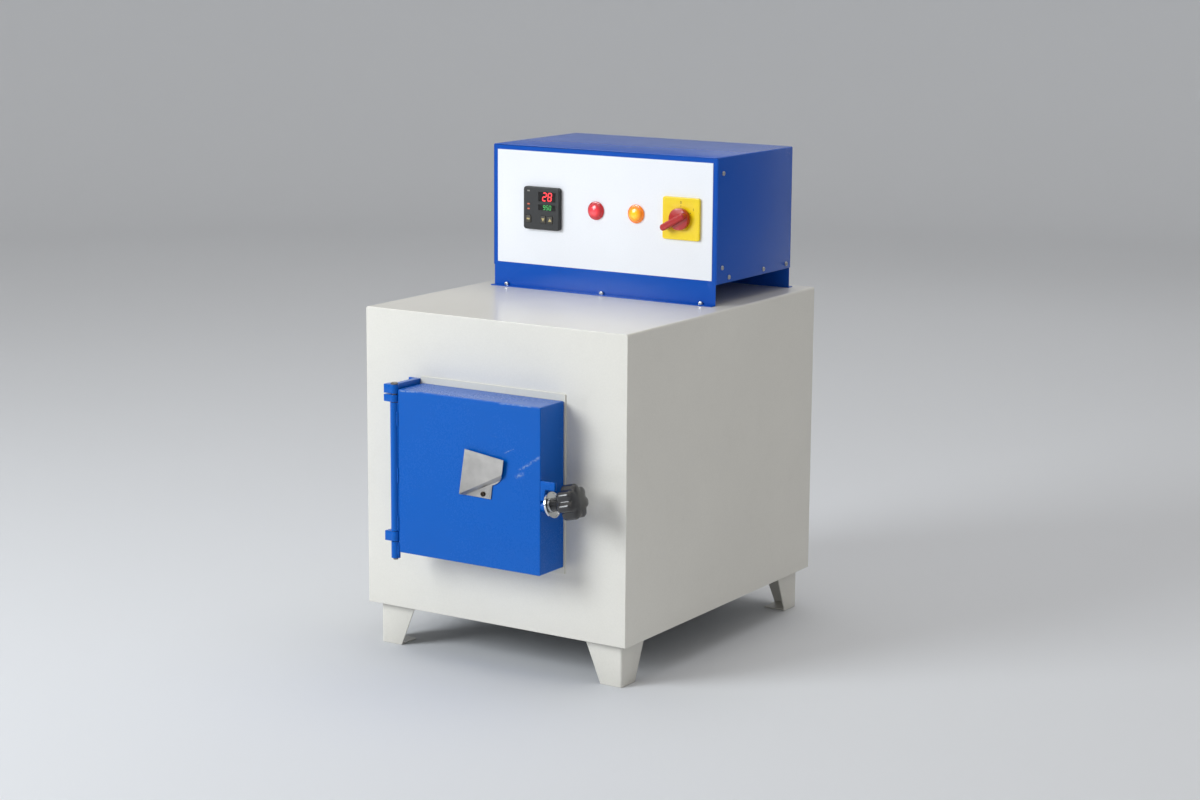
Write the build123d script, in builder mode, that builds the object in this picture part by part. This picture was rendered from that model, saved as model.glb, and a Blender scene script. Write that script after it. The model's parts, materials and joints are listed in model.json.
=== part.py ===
from build123d import *
import math
import os

os.makedirs("parts", exist_ok=True)

# Driving dimensions, in millimetres and degrees

# Cabinet
cabinet_width = 500
cabinet_depth = 607
cabinet_height = 495
cabinet_sheet = 2
cabinet_corner_radius = 4
panel_edge_radius = 1.2
panel_return = 15
rear_flange_width = 18

# Feet, folded from sheet
foot_height = 70
foot_sheet = 2.5
foot_inset = 15
foot_width_at_top = 68
foot_width_at_floor = 40
foot_corner_radius = 4

# Heated chamber and its lining
chamber_width = 150
chamber_height = 150
chamber_depth = 300
muffle_wall = 10
mouth_block_depth = 50
mouth_flare = 12
mouth_flare_depth = 24
element_space = 8
element_thickness = 3
element_width = 5
element_turns = 12
element_link_width = 6
lead_radius = 2
lead_spacing = 80
lead_behind_muffle = 40
bushing_radius = 8
bushing_reach = 8
terminal_space = 47
sheath_radius = 4
sheath_into_chamber = 25
sheath_below_roof = 25
head_radius = 20
head_length = 26
head_cap_radius = 17
head_cap_length = 8

# Door
door_width = 272
door_height = 266
door_depth = 65
door_sheet = 2
door_corner_radius = 2.5
door_seal_gap = 1
seat_frame_sheet = 2
seat_frame_side_margin = 2
seat_frame_end_margin = 10.5
plug_depth = 20
plug_clearance = 3

# Door hinge
hinge_off_side = 8
hinge_behind_face = 2
barrel_radius = 7
pin_radius = 4
running_clearance = 0.05
weld_web = 4
short_barrel_from = 104.5
lower_bracket_from = 132
lower_bracket_height = 16
middle_bracket_from = 359.5
middle_bracket_height = 11.5
upper_bracket_from = 373
upper_bracket_height = 14.5
hinge_gap = 1
lug_reach = 17
lug_front = 6
lug_back = 8
arm_width = 10
arm_foot_width = 22
arm_foot_sheet = 3
pin_head_radius = 6
pin_head_height = 3
pin_tail = 3

# Peephole and its swinging cover
peephole_radius = 10
peephole_tube_wall = 5
peephole_x = 9
peephole_up = 262
cover_sheet = 1.5
cover_standoff = 5
cover_tilt = 7.5
cover_pivot_x = 30
cover_pivot_up = 232
cover_left = 40.6
cover_right = 33.4
cover_top = 64.3
cover_bottom_left = 42
cover_bottom = 11
cover_tab_bottom = 4.8
cover_tab_right = 15
cover_corner_start = 46
cover_shoulder = 18
cover_fold_angle = 33
cover_fold_drop = 4.6
cover_fold_left = 10
cover_fold_run = 6
cover_lift = 0.3
cover_screw_radius = 2
cover_screw_head_radius = 4
cover_screw_head_height = 2.5

# Door clamp
clamp_behind_face = 8
clamp_up = 224.6
clamp_tilt = 14
boss_radius = 8
boss_length = 9
stud_radius = 5
keeper_sheet = 3
keeper_height = 26
keeper_from_door = 12.4
keeper_tip = 10
keeper_slot = 12
keeper_foot_width = 26
washer_gap = 0.5
washer_radius = 20.5
washer_rim = 3.4
washer_sheet = 1.6
knob_radius = 28
knob_length = 29
knob_crown = 4
knob_neck_length = 22
knob_neck_radius = 11
knob_lobes = 6
knob_scallop_radius = 9
knob_scallop_depth = 5
knob_edge_radius = 3
insert_radius = 8
tab_reach = 26.5
tab_top = 266
tab_tip_height = 13
tab_root_height = 31
tab_root_width = 6
tab_thickness = 6

# Control box
box_width = 440
box_depth = 253
box_height = 242
box_from_front = 321
box_sheet = 1.5
box_corner_radius = 3
box_vent_height = 35
box_foot_flange = 12
box_side_flange = 14
box_front_return = 24
fascia_width = 422
fascia_height = 192
fascia_from_cabinet = 41
fascia_sheet = 1
controls_up = 138

# Panel instruments
controller_x = -117
controller_face = 72
controller_cutout = 68
controller_body = 67
controller_corner_radius = 5
controller_bezel = 8
controller_behind = 78
display_width = 34
display_x = 11.5
process_display_height = 16
process_display_up = 20
setpoint_display_height = 9.5
setpoint_display_up = 2
display_recess = 1.5
display_thickness = 1
key_width = 10
key_height = 12
key_left_x = -25.5
key_middle_x = 4.4
key_right_x = 18.3
key_down = 18.5
key_travel = 1
key_proud = 1.2
key_length = 4
key_clearance = 0.4
lamp_red_x = -12
lamp_amber_x = 66.5
lamp_up = 3
lamp_flange_radius = 15.4
lamp_flange = 3
lamp_dome_radius = 13
lamp_height = 9
lamp_barrel_radius = 11
lamp_barrel_length = 42
lamp_nut_radius = 14.5
lamp_nut = 6
switch_x = 154.5
switch_up = 1.5
switch_plate = 70
switch_plate_thickness = 5
switch_plate_corner = 4
switch_body = 48
switch_body_depth = 62
switch_stem_radius = 6
handle_radius = 18
handle_disc = 9
handle_grip_width = 11
handle_grip_height = 9
handle_head = 17
handle_tail = 34
handle_angle = 30

# Inside the control box and at its back
contactor_width = 46
contactor_depth = 82
contactor_height = 76
contactor_step = 14
contactor_x = -40
terminal_strip_length = 130
terminal_strip_depth = 24
terminal_strip_height = 32
terminal_pitch = 13
terminal_strip_x = 120
core_width = 66
core_depth = 34
core_height = 56
coil_depth = 54
coil_height = 30
transformer_x = 110
gland_x = -150
gland_up = 80
gland_bore = 6
gland_thread_radius = 9.8
gland_hex = 24
gland_hex_length = 6
gland_dome_radius = 10.5
gland_dome_length = 13
gland_inside = 12

# Screws
box_screw_head_radius = 3.8
box_screw_head = 2.4
screw_sides = 12
foot_screw_head_radius = 6
foot_screw_head = 4
screw_tail = 2
hole_clearance = 0.1
back_screw_edge = 11

# Clearances between pieces that rest on each other
fit = 0.2

# Shared positions
knob_front_reach = door_seal_gap + seat_frame_sheet + door_depth - clamp_behind_face + knob_radius
back_reach = box_screw_head
front = (knob_front_reach - cabinet_depth - back_reach) / 2
back = front + cabinet_depth
body_z = foot_height
top_z = body_z + cabinet_height
chamber_z = body_z + cabinet_height / 2
door_back = front - seat_frame_sheet - door_seal_gap
door_front = door_back - door_depth
door_left = -door_width / 2
door_right = door_width / 2
hinge_x = door_left - hinge_off_side
hinge_y = door_front + hinge_behind_face
box_front = front + box_from_front
box_back = box_front + box_depth
box_top = top_z + box_height
tray_z = top_z + box_vent_height + box_sheet
box_inner = box_width / 2 - box_sheet - fit
fascia_front = box_front - fascia_sheet
controls_z = top_z + controls_up
lamp_z = controls_z + lamp_up
switch_z = controls_z + switch_up


def facing(y):
    """The upright plane at y that faces the front, with X to the right and Z up."""
    return Plane.XZ.offset(-y)


# Where the back panel's screws sit
back_screw_x = cabinet_width / 2 - back_screw_edge
back_screw_top = top_z - back_screw_edge
back_screw_step = (cabinet_height - 2 * back_screw_edge) / 3
back_screws = [(0, back_screw_top)]
for side in (-1, 1):
    back_screws.append((side * back_screw_x / 2, back_screw_top))
    for row in range(3):
        back_screws.append((side * back_screw_x, back_screw_top - row * back_screw_step))

# Cabinet wrapper: one sheet folded over both sides and the top, with a flange at the back
with BuildPart() as cabinet_wrapper:
    with BuildSketch(facing(front + cabinet_sheet)):
        with Locations((0, chamber_z)):
            Rectangle(cabinet_width, cabinet_height)
        fillet(vertices().group_by(Axis.Y)[-1], cabinet_corner_radius)
        with Locations((0, chamber_z - cabinet_sheet / 2)):
            Rectangle(
                cabinet_width - 2 * cabinet_sheet,
                cabinet_height - cabinet_sheet,
                mode=Mode.SUBTRACT,
            )
    extrude(amount=-(cabinet_depth - 2 * cabinet_sheet))
    with BuildSketch(facing(back - 2 * cabinet_sheet)):
        with Locations((0, chamber_z - cabinet_sheet / 2)):
            Rectangle(cabinet_width - 2 * cabinet_sheet, cabinet_height - cabinet_sheet)
        with Locations((0, chamber_z - cabinet_sheet / 2 - rear_flange_width / 2)):
            Rectangle(
                cabinet_width - 2 * cabinet_sheet - 2 * rear_flange_width,
                cabinet_height - cabinet_sheet - rear_flange_width,
                mode=Mode.SUBTRACT,
            )
    extrude(amount=-cabinet_sheet)
    lead_y = front + chamber_depth + muffle_wall + lead_behind_muffle
    with Locations(
        (-lead_spacing / 2, lead_y, top_z),
        (lead_spacing / 2, lead_y, top_z),
    ):
        Hole(bushing_radius + fit, depth=2 * cabinet_sheet)
cabinet_wrapper.part.label = "cabinet_wrapper"
export_step(cabinet_wrapper.part, "parts/cabinet_wrapper.step")

# Front panel: full-size face with the mouth cut out and edges returned into the wrapper
mouth_width = chamber_width + 2 * mouth_flare
mouth_height = chamber_height + 2 * mouth_flare
panel_opening_width = mouth_width + 2 * plug_clearance
panel_opening_height = mouth_height + 2 * plug_clearance
with BuildPart() as front_panel:
    with BuildSketch(facing(front)):
        with Locations((0, chamber_z)):
            Rectangle(cabinet_width, cabinet_height)
        fillet(vertices().group_by(Axis.Y)[-1], cabinet_corner_radius)
    extrude(amount=-cabinet_sheet)
    fillet(front_panel.faces().sort_by(Axis.Y)[0].edges(), panel_edge_radius)
    return_half = cabinet_width / 2 - cabinet_sheet - fit
    return_top = top_z - cabinet_sheet - fit
    with BuildSketch(facing(front + cabinet_sheet)):
        with Locations((0, (body_z + return_top) / 2)):
            Rectangle(2 * return_half, return_top - body_z)
        with Locations((0, (body_z + return_top) / 2 - cabinet_sheet / 2)):
            Rectangle(
                2 * (return_half - cabinet_sheet),
                return_top - body_z - cabinet_sheet,
                mode=Mode.SUBTRACT,
            )
    extrude(amount=-panel_return)
    with BuildSketch(facing(front)):
        with Locations((0, chamber_z)):
            Rectangle(panel_opening_width, panel_opening_height)
    extrude(amount=-cabinet_sheet, mode=Mode.SUBTRACT)
front_panel.part.label = "front_panel"
export_step(front_panel.part, "parts/front_panel.step")

# Back panel: plain plate over the wrapper's rear flange
with BuildPart() as back_panel:
    with BuildSketch(facing(back - cabinet_sheet)):
        with Locations((0, chamber_z)):
            Rectangle(cabinet_width, cabinet_height)
        fillet(vertices().group_by(Axis.Y)[-1], cabinet_corner_radius)
    extrude(amount=-cabinet_sheet)
back_panel.part.label = "back_panel"
export_step(back_panel.part, "parts/back_panel.step")

# Screw heads of the back panel, all alike
with BuildPart() as back_panel_screws:
    with BuildSketch(facing(back)):
        with Locations(*back_screws):
            RegularPolygon(box_screw_head_radius, screw_sides)
    extrude(amount=-box_screw_head)
back_panel_screws.part.label = "back_panel_screws"
export_step(back_panel_screws.part, "parts/back_panel_screws.step")

# Where the feet stand: the outer corner of each folded foot, and its screws
foot_corner_x = cabinet_width / 2 - foot_inset
foot_corner_front = front + foot_inset
foot_corner_back = back - foot_inset
foot_screw_offsets = (foot_width_at_top * 0.33, foot_width_at_top * 0.66)
foot_screws = []
for side in (-1, 1):
    for corner_y, inward in ((foot_corner_front, 1), (foot_corner_back, -1)):
        near, far = foot_screw_offsets
        foot_screws.append((side * (foot_corner_x - near), corner_y + inward * far))
        foot_screws.append((side * (foot_corner_x - far), corner_y + inward * near))

# Bottom panel: flat plate between the wrapper's sides
with BuildPart() as bottom_panel:
    panel_depth = cabinet_depth - 3 * cabinet_sheet - 2 * fit
    with BuildSketch(Plane.XY.offset(body_z)):
        with Locations((0, front + cabinet_sheet + fit + panel_depth / 2)):
            Rectangle(2 * (return_half - cabinet_sheet - fit), panel_depth)
    extrude(amount=cabinet_sheet)
bottom_panel.part.label = "bottom_panel"
export_step(bottom_panel.part, "parts/bottom_panel.step")

# Four feet: sheet folded to an L, tapering to the floor, with a top flange and a sole
for side_name, side in (("left", -1), ("right", 1)):
    for end_name, corner_y, inward in (
        ("front", foot_corner_front, 1),
        ("back", foot_corner_back, -1),
    ):
        foot_name = f"foot_{end_name}_{side_name}"
        corner = (side * foot_corner_x, corner_y)
        with BuildPart() as foot:
            with BuildSketch():
                with Locations(
                    (corner[0] - side * foot_width_at_top / 2, corner[1] + inward * foot_width_at_top / 2)
                ):
                    Rectangle(foot_width_at_top, foot_width_at_top)
                outer_corner = vertices().sort_by_distance((corner[0], corner[1], 0))[0]
                fillet(outer_corner, foot_corner_radius)
            extrude(amount=foot_height)
            inside_size = foot_width_at_top - foot_sheet
            with BuildSketch(Plane.XY.offset(foot_sheet)):
                with Locations(
                    (
                        corner[0] - side * (foot_sheet + inside_size / 2),
                        corner[1] + inward * (foot_sheet + inside_size / 2),
                    )
                ):
                    Rectangle(inside_size, inside_size)
            extrude(amount=foot_height - 2 * foot_sheet, mode=Mode.SUBTRACT)
            taper_in = foot_width_at_floor
            taper_out = foot_width_at_top
            shoulder = foot_height - foot_sheet
            beyond = foot_width_at_top + foot_sheet
            with BuildSketch(facing(corner[1])):
                with BuildLine():
                    Polyline(
                        (corner[0] - side * taper_in, 0),
                        (corner[0] - side * taper_out, shoulder),
                        (corner[0] - side * beyond, shoulder),
                        (corner[0] - side * beyond, 0),
                        close=True,
                    )
                make_face()
            extrude(amount=beyond, both=True, mode=Mode.SUBTRACT)
            with BuildSketch(Plane.YZ.offset(corner[0])):
                with BuildLine():
                    Polyline(
                        (corner[1] + inward * taper_in, 0),
                        (corner[1] + inward * taper_out, shoulder),
                        (corner[1] + inward * beyond, shoulder),
                        (corner[1] + inward * beyond, 0),
                        close=True,
                    )
                make_face()
            extrude(amount=beyond, both=True, mode=Mode.SUBTRACT)
        foot.part.label = foot_name
        export_step(foot.part, f"parts/{foot_name}.step")

# Hexagon heads of the feet's bolts, under the top flanges
with BuildPart() as foot_screw_set:
    with BuildSketch(Plane.XY.offset(body_z - foot_sheet)):
        with Locations(*foot_screws):
            RegularPolygon(foot_screw_head_radius, 6)
    extrude(amount=-foot_screw_head)
foot_screw_set.part.label = "foot_screws"
export_step(foot_screw_set.part, "parts/foot_screws.step")

# Lining: a mouth block in front, four boards round the muffle and a back block
lining_half = return_half - cabinet_sheet - fit
lining_bottom = body_z + cabinet_sheet + fit
lining_top = return_top - cabinet_sheet - fit
lining_front = front + cabinet_sheet + fit
muffle_front = lining_front + mouth_block_depth + fit
muffle_back = front + chamber_depth + muffle_wall
lining_back = back - cabinet_sheet - terminal_space
core_half_width = chamber_width / 2 + muffle_wall + element_space
core_half_height = chamber_height / 2 + muffle_wall + element_space
lead_slot_width = 2 * (bushing_radius + fit)

with BuildPart() as mouth_block:
    with BuildSketch(facing(lining_front)):
        with Locations((0, (lining_bottom + lining_top) / 2)):
            Rectangle(2 * lining_half, lining_top - lining_bottom)
        with Locations((0, chamber_z)):
            Rectangle(chamber_width, chamber_height, mode=Mode.SUBTRACT)
    extrude(amount=-mouth_block_depth)
    with BuildSketch(facing(lining_front)):
        with Locations((0, chamber_z)):
            Rectangle(mouth_width, mouth_height)
    with BuildSketch(facing(lining_front + mouth_flare_depth)):
        with Locations((0, chamber_z)):
            Rectangle(chamber_width, chamber_height)
    loft(mode=Mode.SUBTRACT)
mouth_block.part.label = "mouth_block"
export_step(mouth_block.part, "parts/mouth_block.step")

board_length = muffle_back - muffle_front
with BuildPart() as lining_floor:
    with BuildSketch(facing(muffle_front)):
        with Locations((0, (lining_bottom + chamber_z - core_half_height) / 2)):
            Rectangle(2 * lining_half, chamber_z - core_half_height - lining_bottom)
    extrude(amount=-board_length)
lining_floor.part.label = "lining_floor"
export_step(lining_floor.part, "parts/lining_floor.step")

with BuildPart() as lining_roof:
    with BuildSketch(facing(muffle_front)):
        with Locations((0, (lining_top + chamber_z + core_half_height) / 2)):
            Rectangle(2 * lining_half, lining_top - chamber_z - core_half_height)
    extrude(amount=-board_length)
lining_roof.part.label = "lining_roof"
export_step(lining_roof.part, "parts/lining_roof.step")

board_x = (lining_half + core_half_width) / 2
for side_name, side in (("left", -1), ("right", 1)):
    with BuildPart() as lining_side:
        with BuildSketch(facing(muffle_front)):
            with Locations((side * board_x, chamber_z)):
                Rectangle(lining_half - core_half_width, 2 * (core_half_height - fit))
        extrude(amount=-board_length)
    lining_side.part.label = f"lining_{side_name}"
    export_step(lining_side.part, f"parts/lining_{side_name}.step")

sheath_z = chamber_z + chamber_height / 2 - sheath_below_roof
element_top = chamber_z + chamber_height / 2 + muffle_wall + fit + element_thickness
with BuildPart() as lining_rear:
    with BuildSketch(facing(muffle_back + fit)):
        with Locations((0, (lining_bottom + lining_top) / 2)):
            Rectangle(2 * lining_half, lining_top - lining_bottom)
        with Locations((0, sheath_z)):
            Circle(sheath_radius + fit, mode=Mode.SUBTRACT)
    extrude(amount=-(lining_back - muffle_back - fit))
    slot_bottom = element_top - element_thickness - fit
    with BuildSketch(facing(muffle_back + fit)):
        with Locations(
            (-lead_spacing / 2, (slot_bottom + lining_top) / 2),
            (lead_spacing / 2, (slot_bottom + lining_top) / 2),
        ):
            Rectangle(lead_slot_width, lining_top - slot_bottom)
    extrude(amount=-(lead_behind_muffle + lead_slot_width / 2), mode=Mode.SUBTRACT)
lining_rear.part.label = "lining_rear"
export_step(lining_rear.part, "parts/lining_rear.step")

# Muffle: fired clay box, open to the mouth, closed behind
with BuildPart() as muffle:
    with BuildSketch(facing(muffle_front)):
        with Locations((0, chamber_z)):
            Rectangle(chamber_width + 2 * muffle_wall, chamber_height + 2 * muffle_wall)
    extrude(amount=-(muffle_back - muffle_front))
    with BuildSketch(facing(muffle_front)):
        with Locations((0, chamber_z)):
            Rectangle(chamber_width, chamber_height)
    extrude(amount=-(front + chamber_depth - muffle_front), mode=Mode.SUBTRACT)
    with BuildSketch(facing(front + chamber_depth)):
        with Locations((0, sheath_z)):
            Circle(sheath_radius + fit)
    extrude(amount=-muffle_wall, mode=Mode.SUBTRACT)
muffle.part.label = "muffle"
export_step(muffle.part, "parts/muffle.step")

# Heating element: strip wound round the muffle, turn after turn, with two tails to the leads
element_inner_width = chamber_width + 2 * muffle_wall + 2 * fit
element_inner_height = chamber_height + 2 * muffle_wall + 2 * fit
element_first = muffle_front + 2 * element_width
element_last = muffle_back - 2 * element_width
element_pitch = (element_last - element_first) / (element_turns - 1)
with BuildPart() as heating_element:
    for turn in range(element_turns):
        turn_y = element_first + turn * element_pitch
        with BuildSketch(facing(turn_y - element_width / 2)):
            with Locations((0, chamber_z)):
                Rectangle(
                    element_inner_width + 2 * element_thickness,
                    element_inner_height + 2 * element_thickness,
                )
                Rectangle(element_inner_width, element_inner_height, mode=Mode.SUBTRACT)
        extrude(amount=-element_width)
        if turn < element_turns - 1:
            up_or_down = 1 if turn % 2 else -1
            link_z = chamber_z + up_or_down * (element_inner_height + element_thickness) / 2
            with BuildSketch(facing(turn_y)):
                with Locations((0, link_z)):
                    Rectangle(element_link_width, element_thickness)
            extrude(amount=-element_pitch)
    with BuildSketch(facing(element_last)):
        with Locations(
            (-lead_spacing / 2, element_top - element_thickness / 2),
            (lead_spacing / 2, element_top - element_thickness / 2),
        ):
            Rectangle(element_link_width, element_thickness)
    extrude(amount=-(lead_y + 2 * lead_radius - element_last))
heating_element.part.label = "heating_element"
export_step(heating_element.part, "parts/heating_element.step")

# Leads: rods from the tails, up through the cabinet's top to the control box's tray
lead_places = ((-lead_spacing / 2, lead_y), (lead_spacing / 2, lead_y))
lead_top = tray_z + bushing_reach + 2 * bushing_reach
with BuildPart() as element_leads:
    with BuildSketch(Plane.XY.offset(element_top)):
        with Locations(*lead_places):
            Circle(lead_radius)
    extrude(amount=lead_top - element_top)
element_leads.part.label = "element_leads"
export_step(element_leads.part, "parts/element_leads.step")

with BuildPart() as lead_bushings:
    bushing_bottom = top_z - cabinet_sheet - bushing_reach / 2
    with BuildSketch(Plane.XY.offset(bushing_bottom)):
        with Locations(*lead_places):
            Circle(bushing_radius)
            Circle(lead_radius + hole_clearance, mode=Mode.SUBTRACT)
    extrude(amount=tray_z + bushing_reach - bushing_bottom)
lead_bushings.part.label = "lead_bushings"
export_step(lead_bushings.part, "parts/lead_bushings.step")

# Thermocouple: straight sheath through the back of the chamber, with its head behind the lining
with BuildPart() as thermocouple_sheath:
    sheath_front = front + chamber_depth - sheath_into_chamber
    with BuildSketch(facing(sheath_front)):
        with Locations((0, sheath_z)):
            Circle(sheath_radius)
    extrude(amount=-(lining_back + fit - sheath_front))
    fillet(thermocouple_sheath.faces().sort_by(Axis.Y)[0].edges(), sheath_radius * 0.8)
thermocouple_sheath.part.label = "thermocouple_sheath"
export_step(thermocouple_sheath.part, "parts/thermocouple_sheath.step")

with BuildPart() as thermocouple_head:
    with BuildSketch(facing(lining_back + fit)):
        with Locations((0, sheath_z)):
            Circle(head_radius)
    extrude(amount=-head_length)
    with BuildSketch(facing(lining_back + fit + head_length)):
        with Locations((0, sheath_z)):
            Circle(head_cap_radius)
    extrude(amount=-head_cap_length)
thermocouple_head.part.label = "thermocouple_head"
export_step(thermocouple_head.part, "parts/thermocouple_head.step")

# Seat frame: flat plate round the mouth that the door closes on
with BuildPart() as seat_frame:
    with BuildSketch(facing(front)):
        with Locations((0, chamber_z)):
            Rectangle(
                door_width + 2 * seat_frame_side_margin,
                door_height + 2 * seat_frame_end_margin,
            )
            Rectangle(panel_opening_width, panel_opening_height, mode=Mode.SUBTRACT)
    extrude(amount=seat_frame_sheet)
seat_frame.part.label = "seat_frame"
export_step(seat_frame.part, "parts/seat_frame.step")

# Door shell: folded pan, open at the back, with the peephole in its face
peephole_z = body_z + peephole_up
with BuildPart() as door_shell:
    with BuildSketch(facing(door_front)):
        with Locations((0, chamber_z)):
            Rectangle(door_width, door_height)
    extrude(amount=-door_depth)
    fillet(door_shell.edges().filter_by(Axis.Y), door_corner_radius)
    fillet(door_shell.faces().sort_by(Axis.Y)[0].edges(), door_corner_radius * 0.6)
    with BuildSketch(facing(door_back)):
        with Locations((0, chamber_z)):
            Rectangle(door_width - 2 * door_sheet, door_height - 2 * door_sheet)
    extrude(amount=door_depth - door_sheet, mode=Mode.SUBTRACT)
    with BuildSketch(facing(door_front)):
        with Locations((peephole_x, peephole_z)):
            Circle(peephole_radius)
        with Locations((cover_pivot_x, body_z + cover_pivot_up)):
            Circle(cover_screw_radius + hole_clearance)
    extrude(amount=-door_sheet, mode=Mode.SUBTRACT)
door_shell.part.label = "door_shell"
export_step(door_shell.part, "parts/door_shell.step")

# Door lining: board that fills the pan, with a tapered plug that closes the mouth
tube_radius = peephole_radius + peephole_tube_wall
plug_end = door_back + seat_frame_sheet + door_seal_gap + cabinet_sheet + plug_depth
plug_taper = math.degrees(math.atan(mouth_flare / mouth_flare_depth))
plug_base_width = mouth_width - 2 * plug_clearance
plug_base_height = mouth_height - 2 * plug_clearance
with BuildPart() as door_lining:
    with BuildSketch(facing(door_front + door_sheet + fit)):
        with Locations((0, chamber_z)):
            Rectangle(door_width - 2 * door_sheet - 2 * fit, door_height - 2 * door_sheet - 2 * fit)
    extrude(amount=-(door_depth - door_sheet - fit))
    with BuildSketch(facing(door_back)):
        with Locations((0, chamber_z)):
            Rectangle(plug_base_width, plug_base_height)
    extrude(amount=-(plug_end - door_back), taper=plug_taper)
    with BuildSketch(facing(door_front)):
        with Locations((peephole_x, peephole_z)):
            Circle(tube_radius + hole_clearance)
    extrude(amount=-(plug_end - door_front), mode=Mode.SUBTRACT)
    with BuildSketch(facing(door_front + door_sheet)):
        with Locations((cover_pivot_x, body_z + cover_pivot_up)):
            Circle(cover_screw_radius + fit)
    extrude(amount=-2 * screw_tail, mode=Mode.SUBTRACT)
door_lining.part.label = "door_lining"
export_step(door_lining.part, "parts/door_lining.step")

with BuildPart() as peephole_tube:
    with BuildSketch(facing(door_front + door_sheet + fit)):
        with Locations((peephole_x, peephole_z)):
            Circle(tube_radius)
            Circle(peephole_radius, mode=Mode.SUBTRACT)
    extrude(amount=-(plug_end - door_front - door_sheet - fit))
peephole_tube.part.label = "peephole_tube"
export_step(peephole_tube.part, "parts/peephole_tube.step")

# Hinge: door barrels welded to the door's edge, and brackets fixed to the cabinet
bore_radius = pin_radius + running_clearance
for barrel_name, barrel_from, barrel_to in (
    ("barrel_short", short_barrel_from, lower_bracket_from - hinge_gap),
    (
        "barrel_long",
        lower_bracket_from + lower_bracket_height + hinge_gap,
        middle_bracket_from - hinge_gap,
    ),
):
    with BuildPart() as barrel:
        with BuildSketch(Plane.XY.offset(body_z + barrel_from)):
            with Locations((hinge_x, hinge_y)):
                Circle(barrel_radius)
            with Locations((hinge_x + hinge_off_side / 2, hinge_y)):
                Rectangle(hinge_off_side, weld_web)
            with Locations((hinge_x, hinge_y)):
                Circle(bore_radius, mode=Mode.SUBTRACT)
        extrude(amount=barrel_to - barrel_from)
    barrel.part.label = barrel_name
    export_step(barrel.part, f"parts/{barrel_name}.step")

arm_length = front - hinge_y
arm_right = hinge_x + arm_width - barrel_radius
with BuildPart() as hinge_brackets:
    for bracket_from, bracket_height in (
        (lower_bracket_from, lower_bracket_height),
        (middle_bracket_from, middle_bracket_height),
        (upper_bracket_from, upper_bracket_height),
    ):
        with BuildSketch(Plane.XY.offset(body_z + bracket_from)):
            with Locations((hinge_x, hinge_y)):
                Circle(barrel_radius)
            with Locations((hinge_x - lug_reach / 2, hinge_y + (lug_back - lug_front) / 2)):
                Rectangle(lug_reach, lug_back + lug_front)
            with Locations((arm_right - arm_width / 2, hinge_y + arm_length / 2)):
                Rectangle(arm_width, arm_length)
            with Locations((arm_right - arm_foot_width / 2, front - arm_foot_sheet / 2)):
                Rectangle(arm_foot_width, arm_foot_sheet)
            with Locations((hinge_x, hinge_y)):
                Circle(bore_radius, mode=Mode.SUBTRACT)
        extrude(amount=bracket_height)
hinge_brackets.part.label = "hinge_brackets"
export_step(hinge_brackets.part, "parts/hinge_brackets.step")

with BuildPart() as hinge_pin:
    pin_top = upper_bracket_from + upper_bracket_height
    with BuildSketch(Plane.XY.offset(body_z + short_barrel_from - pin_tail)):
        with Locations((hinge_x, hinge_y)):
            Circle(pin_radius)
    extrude(amount=pin_top - short_barrel_from + pin_tail)
    with BuildSketch(Plane.XY.offset(body_z + pin_top)):
        with Locations((hinge_x, hinge_y)):
            Circle(pin_head_radius)
    extrude(amount=pin_head_height)
    chamfer(hinge_pin.faces().sort_by(Axis.Z)[-1].edges(), pin_head_height * 0.4)
hinge_pin.part.label = "hinge_pin"
export_step(hinge_pin.part, "parts/hinge_pin.step")

# Peephole cover: a plate that stands off the door and is joggled back to its pivot tab
cover_cos = math.cos(math.radians(cover_tilt))
cover_sin = math.sin(math.radians(cover_tilt))
cover_pivot = Vector(cover_pivot_x, door_front, body_z + cover_pivot_up)
cover_plane = Plane(origin=cover_pivot, x_dir=(cover_cos, 0, -cover_sin), z_dir=(0, -1, 0))
fold_cos = math.cos(math.radians(cover_fold_angle))
fold_sin = math.sin(math.radians(cover_fold_angle))
fold_origin = cover_plane.from_local_coords(Vector(-cover_fold_left, cover_fold_drop, 0))
fold_plane = Plane(
    origin=fold_origin,
    x_dir=cover_plane.y_dir * fold_cos - cover_plane.x_dir * fold_sin,
    z_dir=cover_plane.x_dir * fold_cos + cover_plane.y_dir * fold_sin,
)
cover_span = cover_left + cover_right + cover_top
with BuildPart() as peephole_cover:
    with BuildSketch(fold_plane):
        with BuildLine():
            Polyline(
                (-cover_span, cover_lift),
                (0, cover_lift),
                (cover_fold_run, cover_standoff),
                (cover_span, cover_standoff),
                (cover_span, cover_standoff + cover_sheet),
                (cover_fold_run, cover_standoff + cover_sheet),
                (0, cover_lift + cover_sheet),
                (-cover_span, cover_lift + cover_sheet),
                close=True,
            )
        make_face()
    extrude(amount=cover_span, both=True)
    with BuildSketch(cover_plane):
        with BuildLine():
            shoulder_start = (cover_right, cover_corner_start)
            shoulder_end = (cover_tab_right, cover_shoulder)
            edge = Polyline(
                (cover_tab_right, cover_shoulder),
                (cover_tab_right, -cover_tab_bottom),
                (-cover_bottom_left, -cover_bottom),
                (-cover_left, cover_top),
                (cover_right, cover_top),
                shoulder_start,
            )
            TangentArc(shoulder_start, shoulder_end, tangent=(0, -1))
        make_face()
    extrude(amount=cover_standoff + 2 * cover_sheet, mode=Mode.INTERSECT)
    with BuildSketch(cover_plane):
        Circle(cover_screw_radius + running_clearance)
    extrude(amount=cover_standoff, mode=Mode.SUBTRACT)
peephole_cover.part.label = "peephole_cover"
export_step(peephole_cover.part, "parts/peephole_cover.step")

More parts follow.
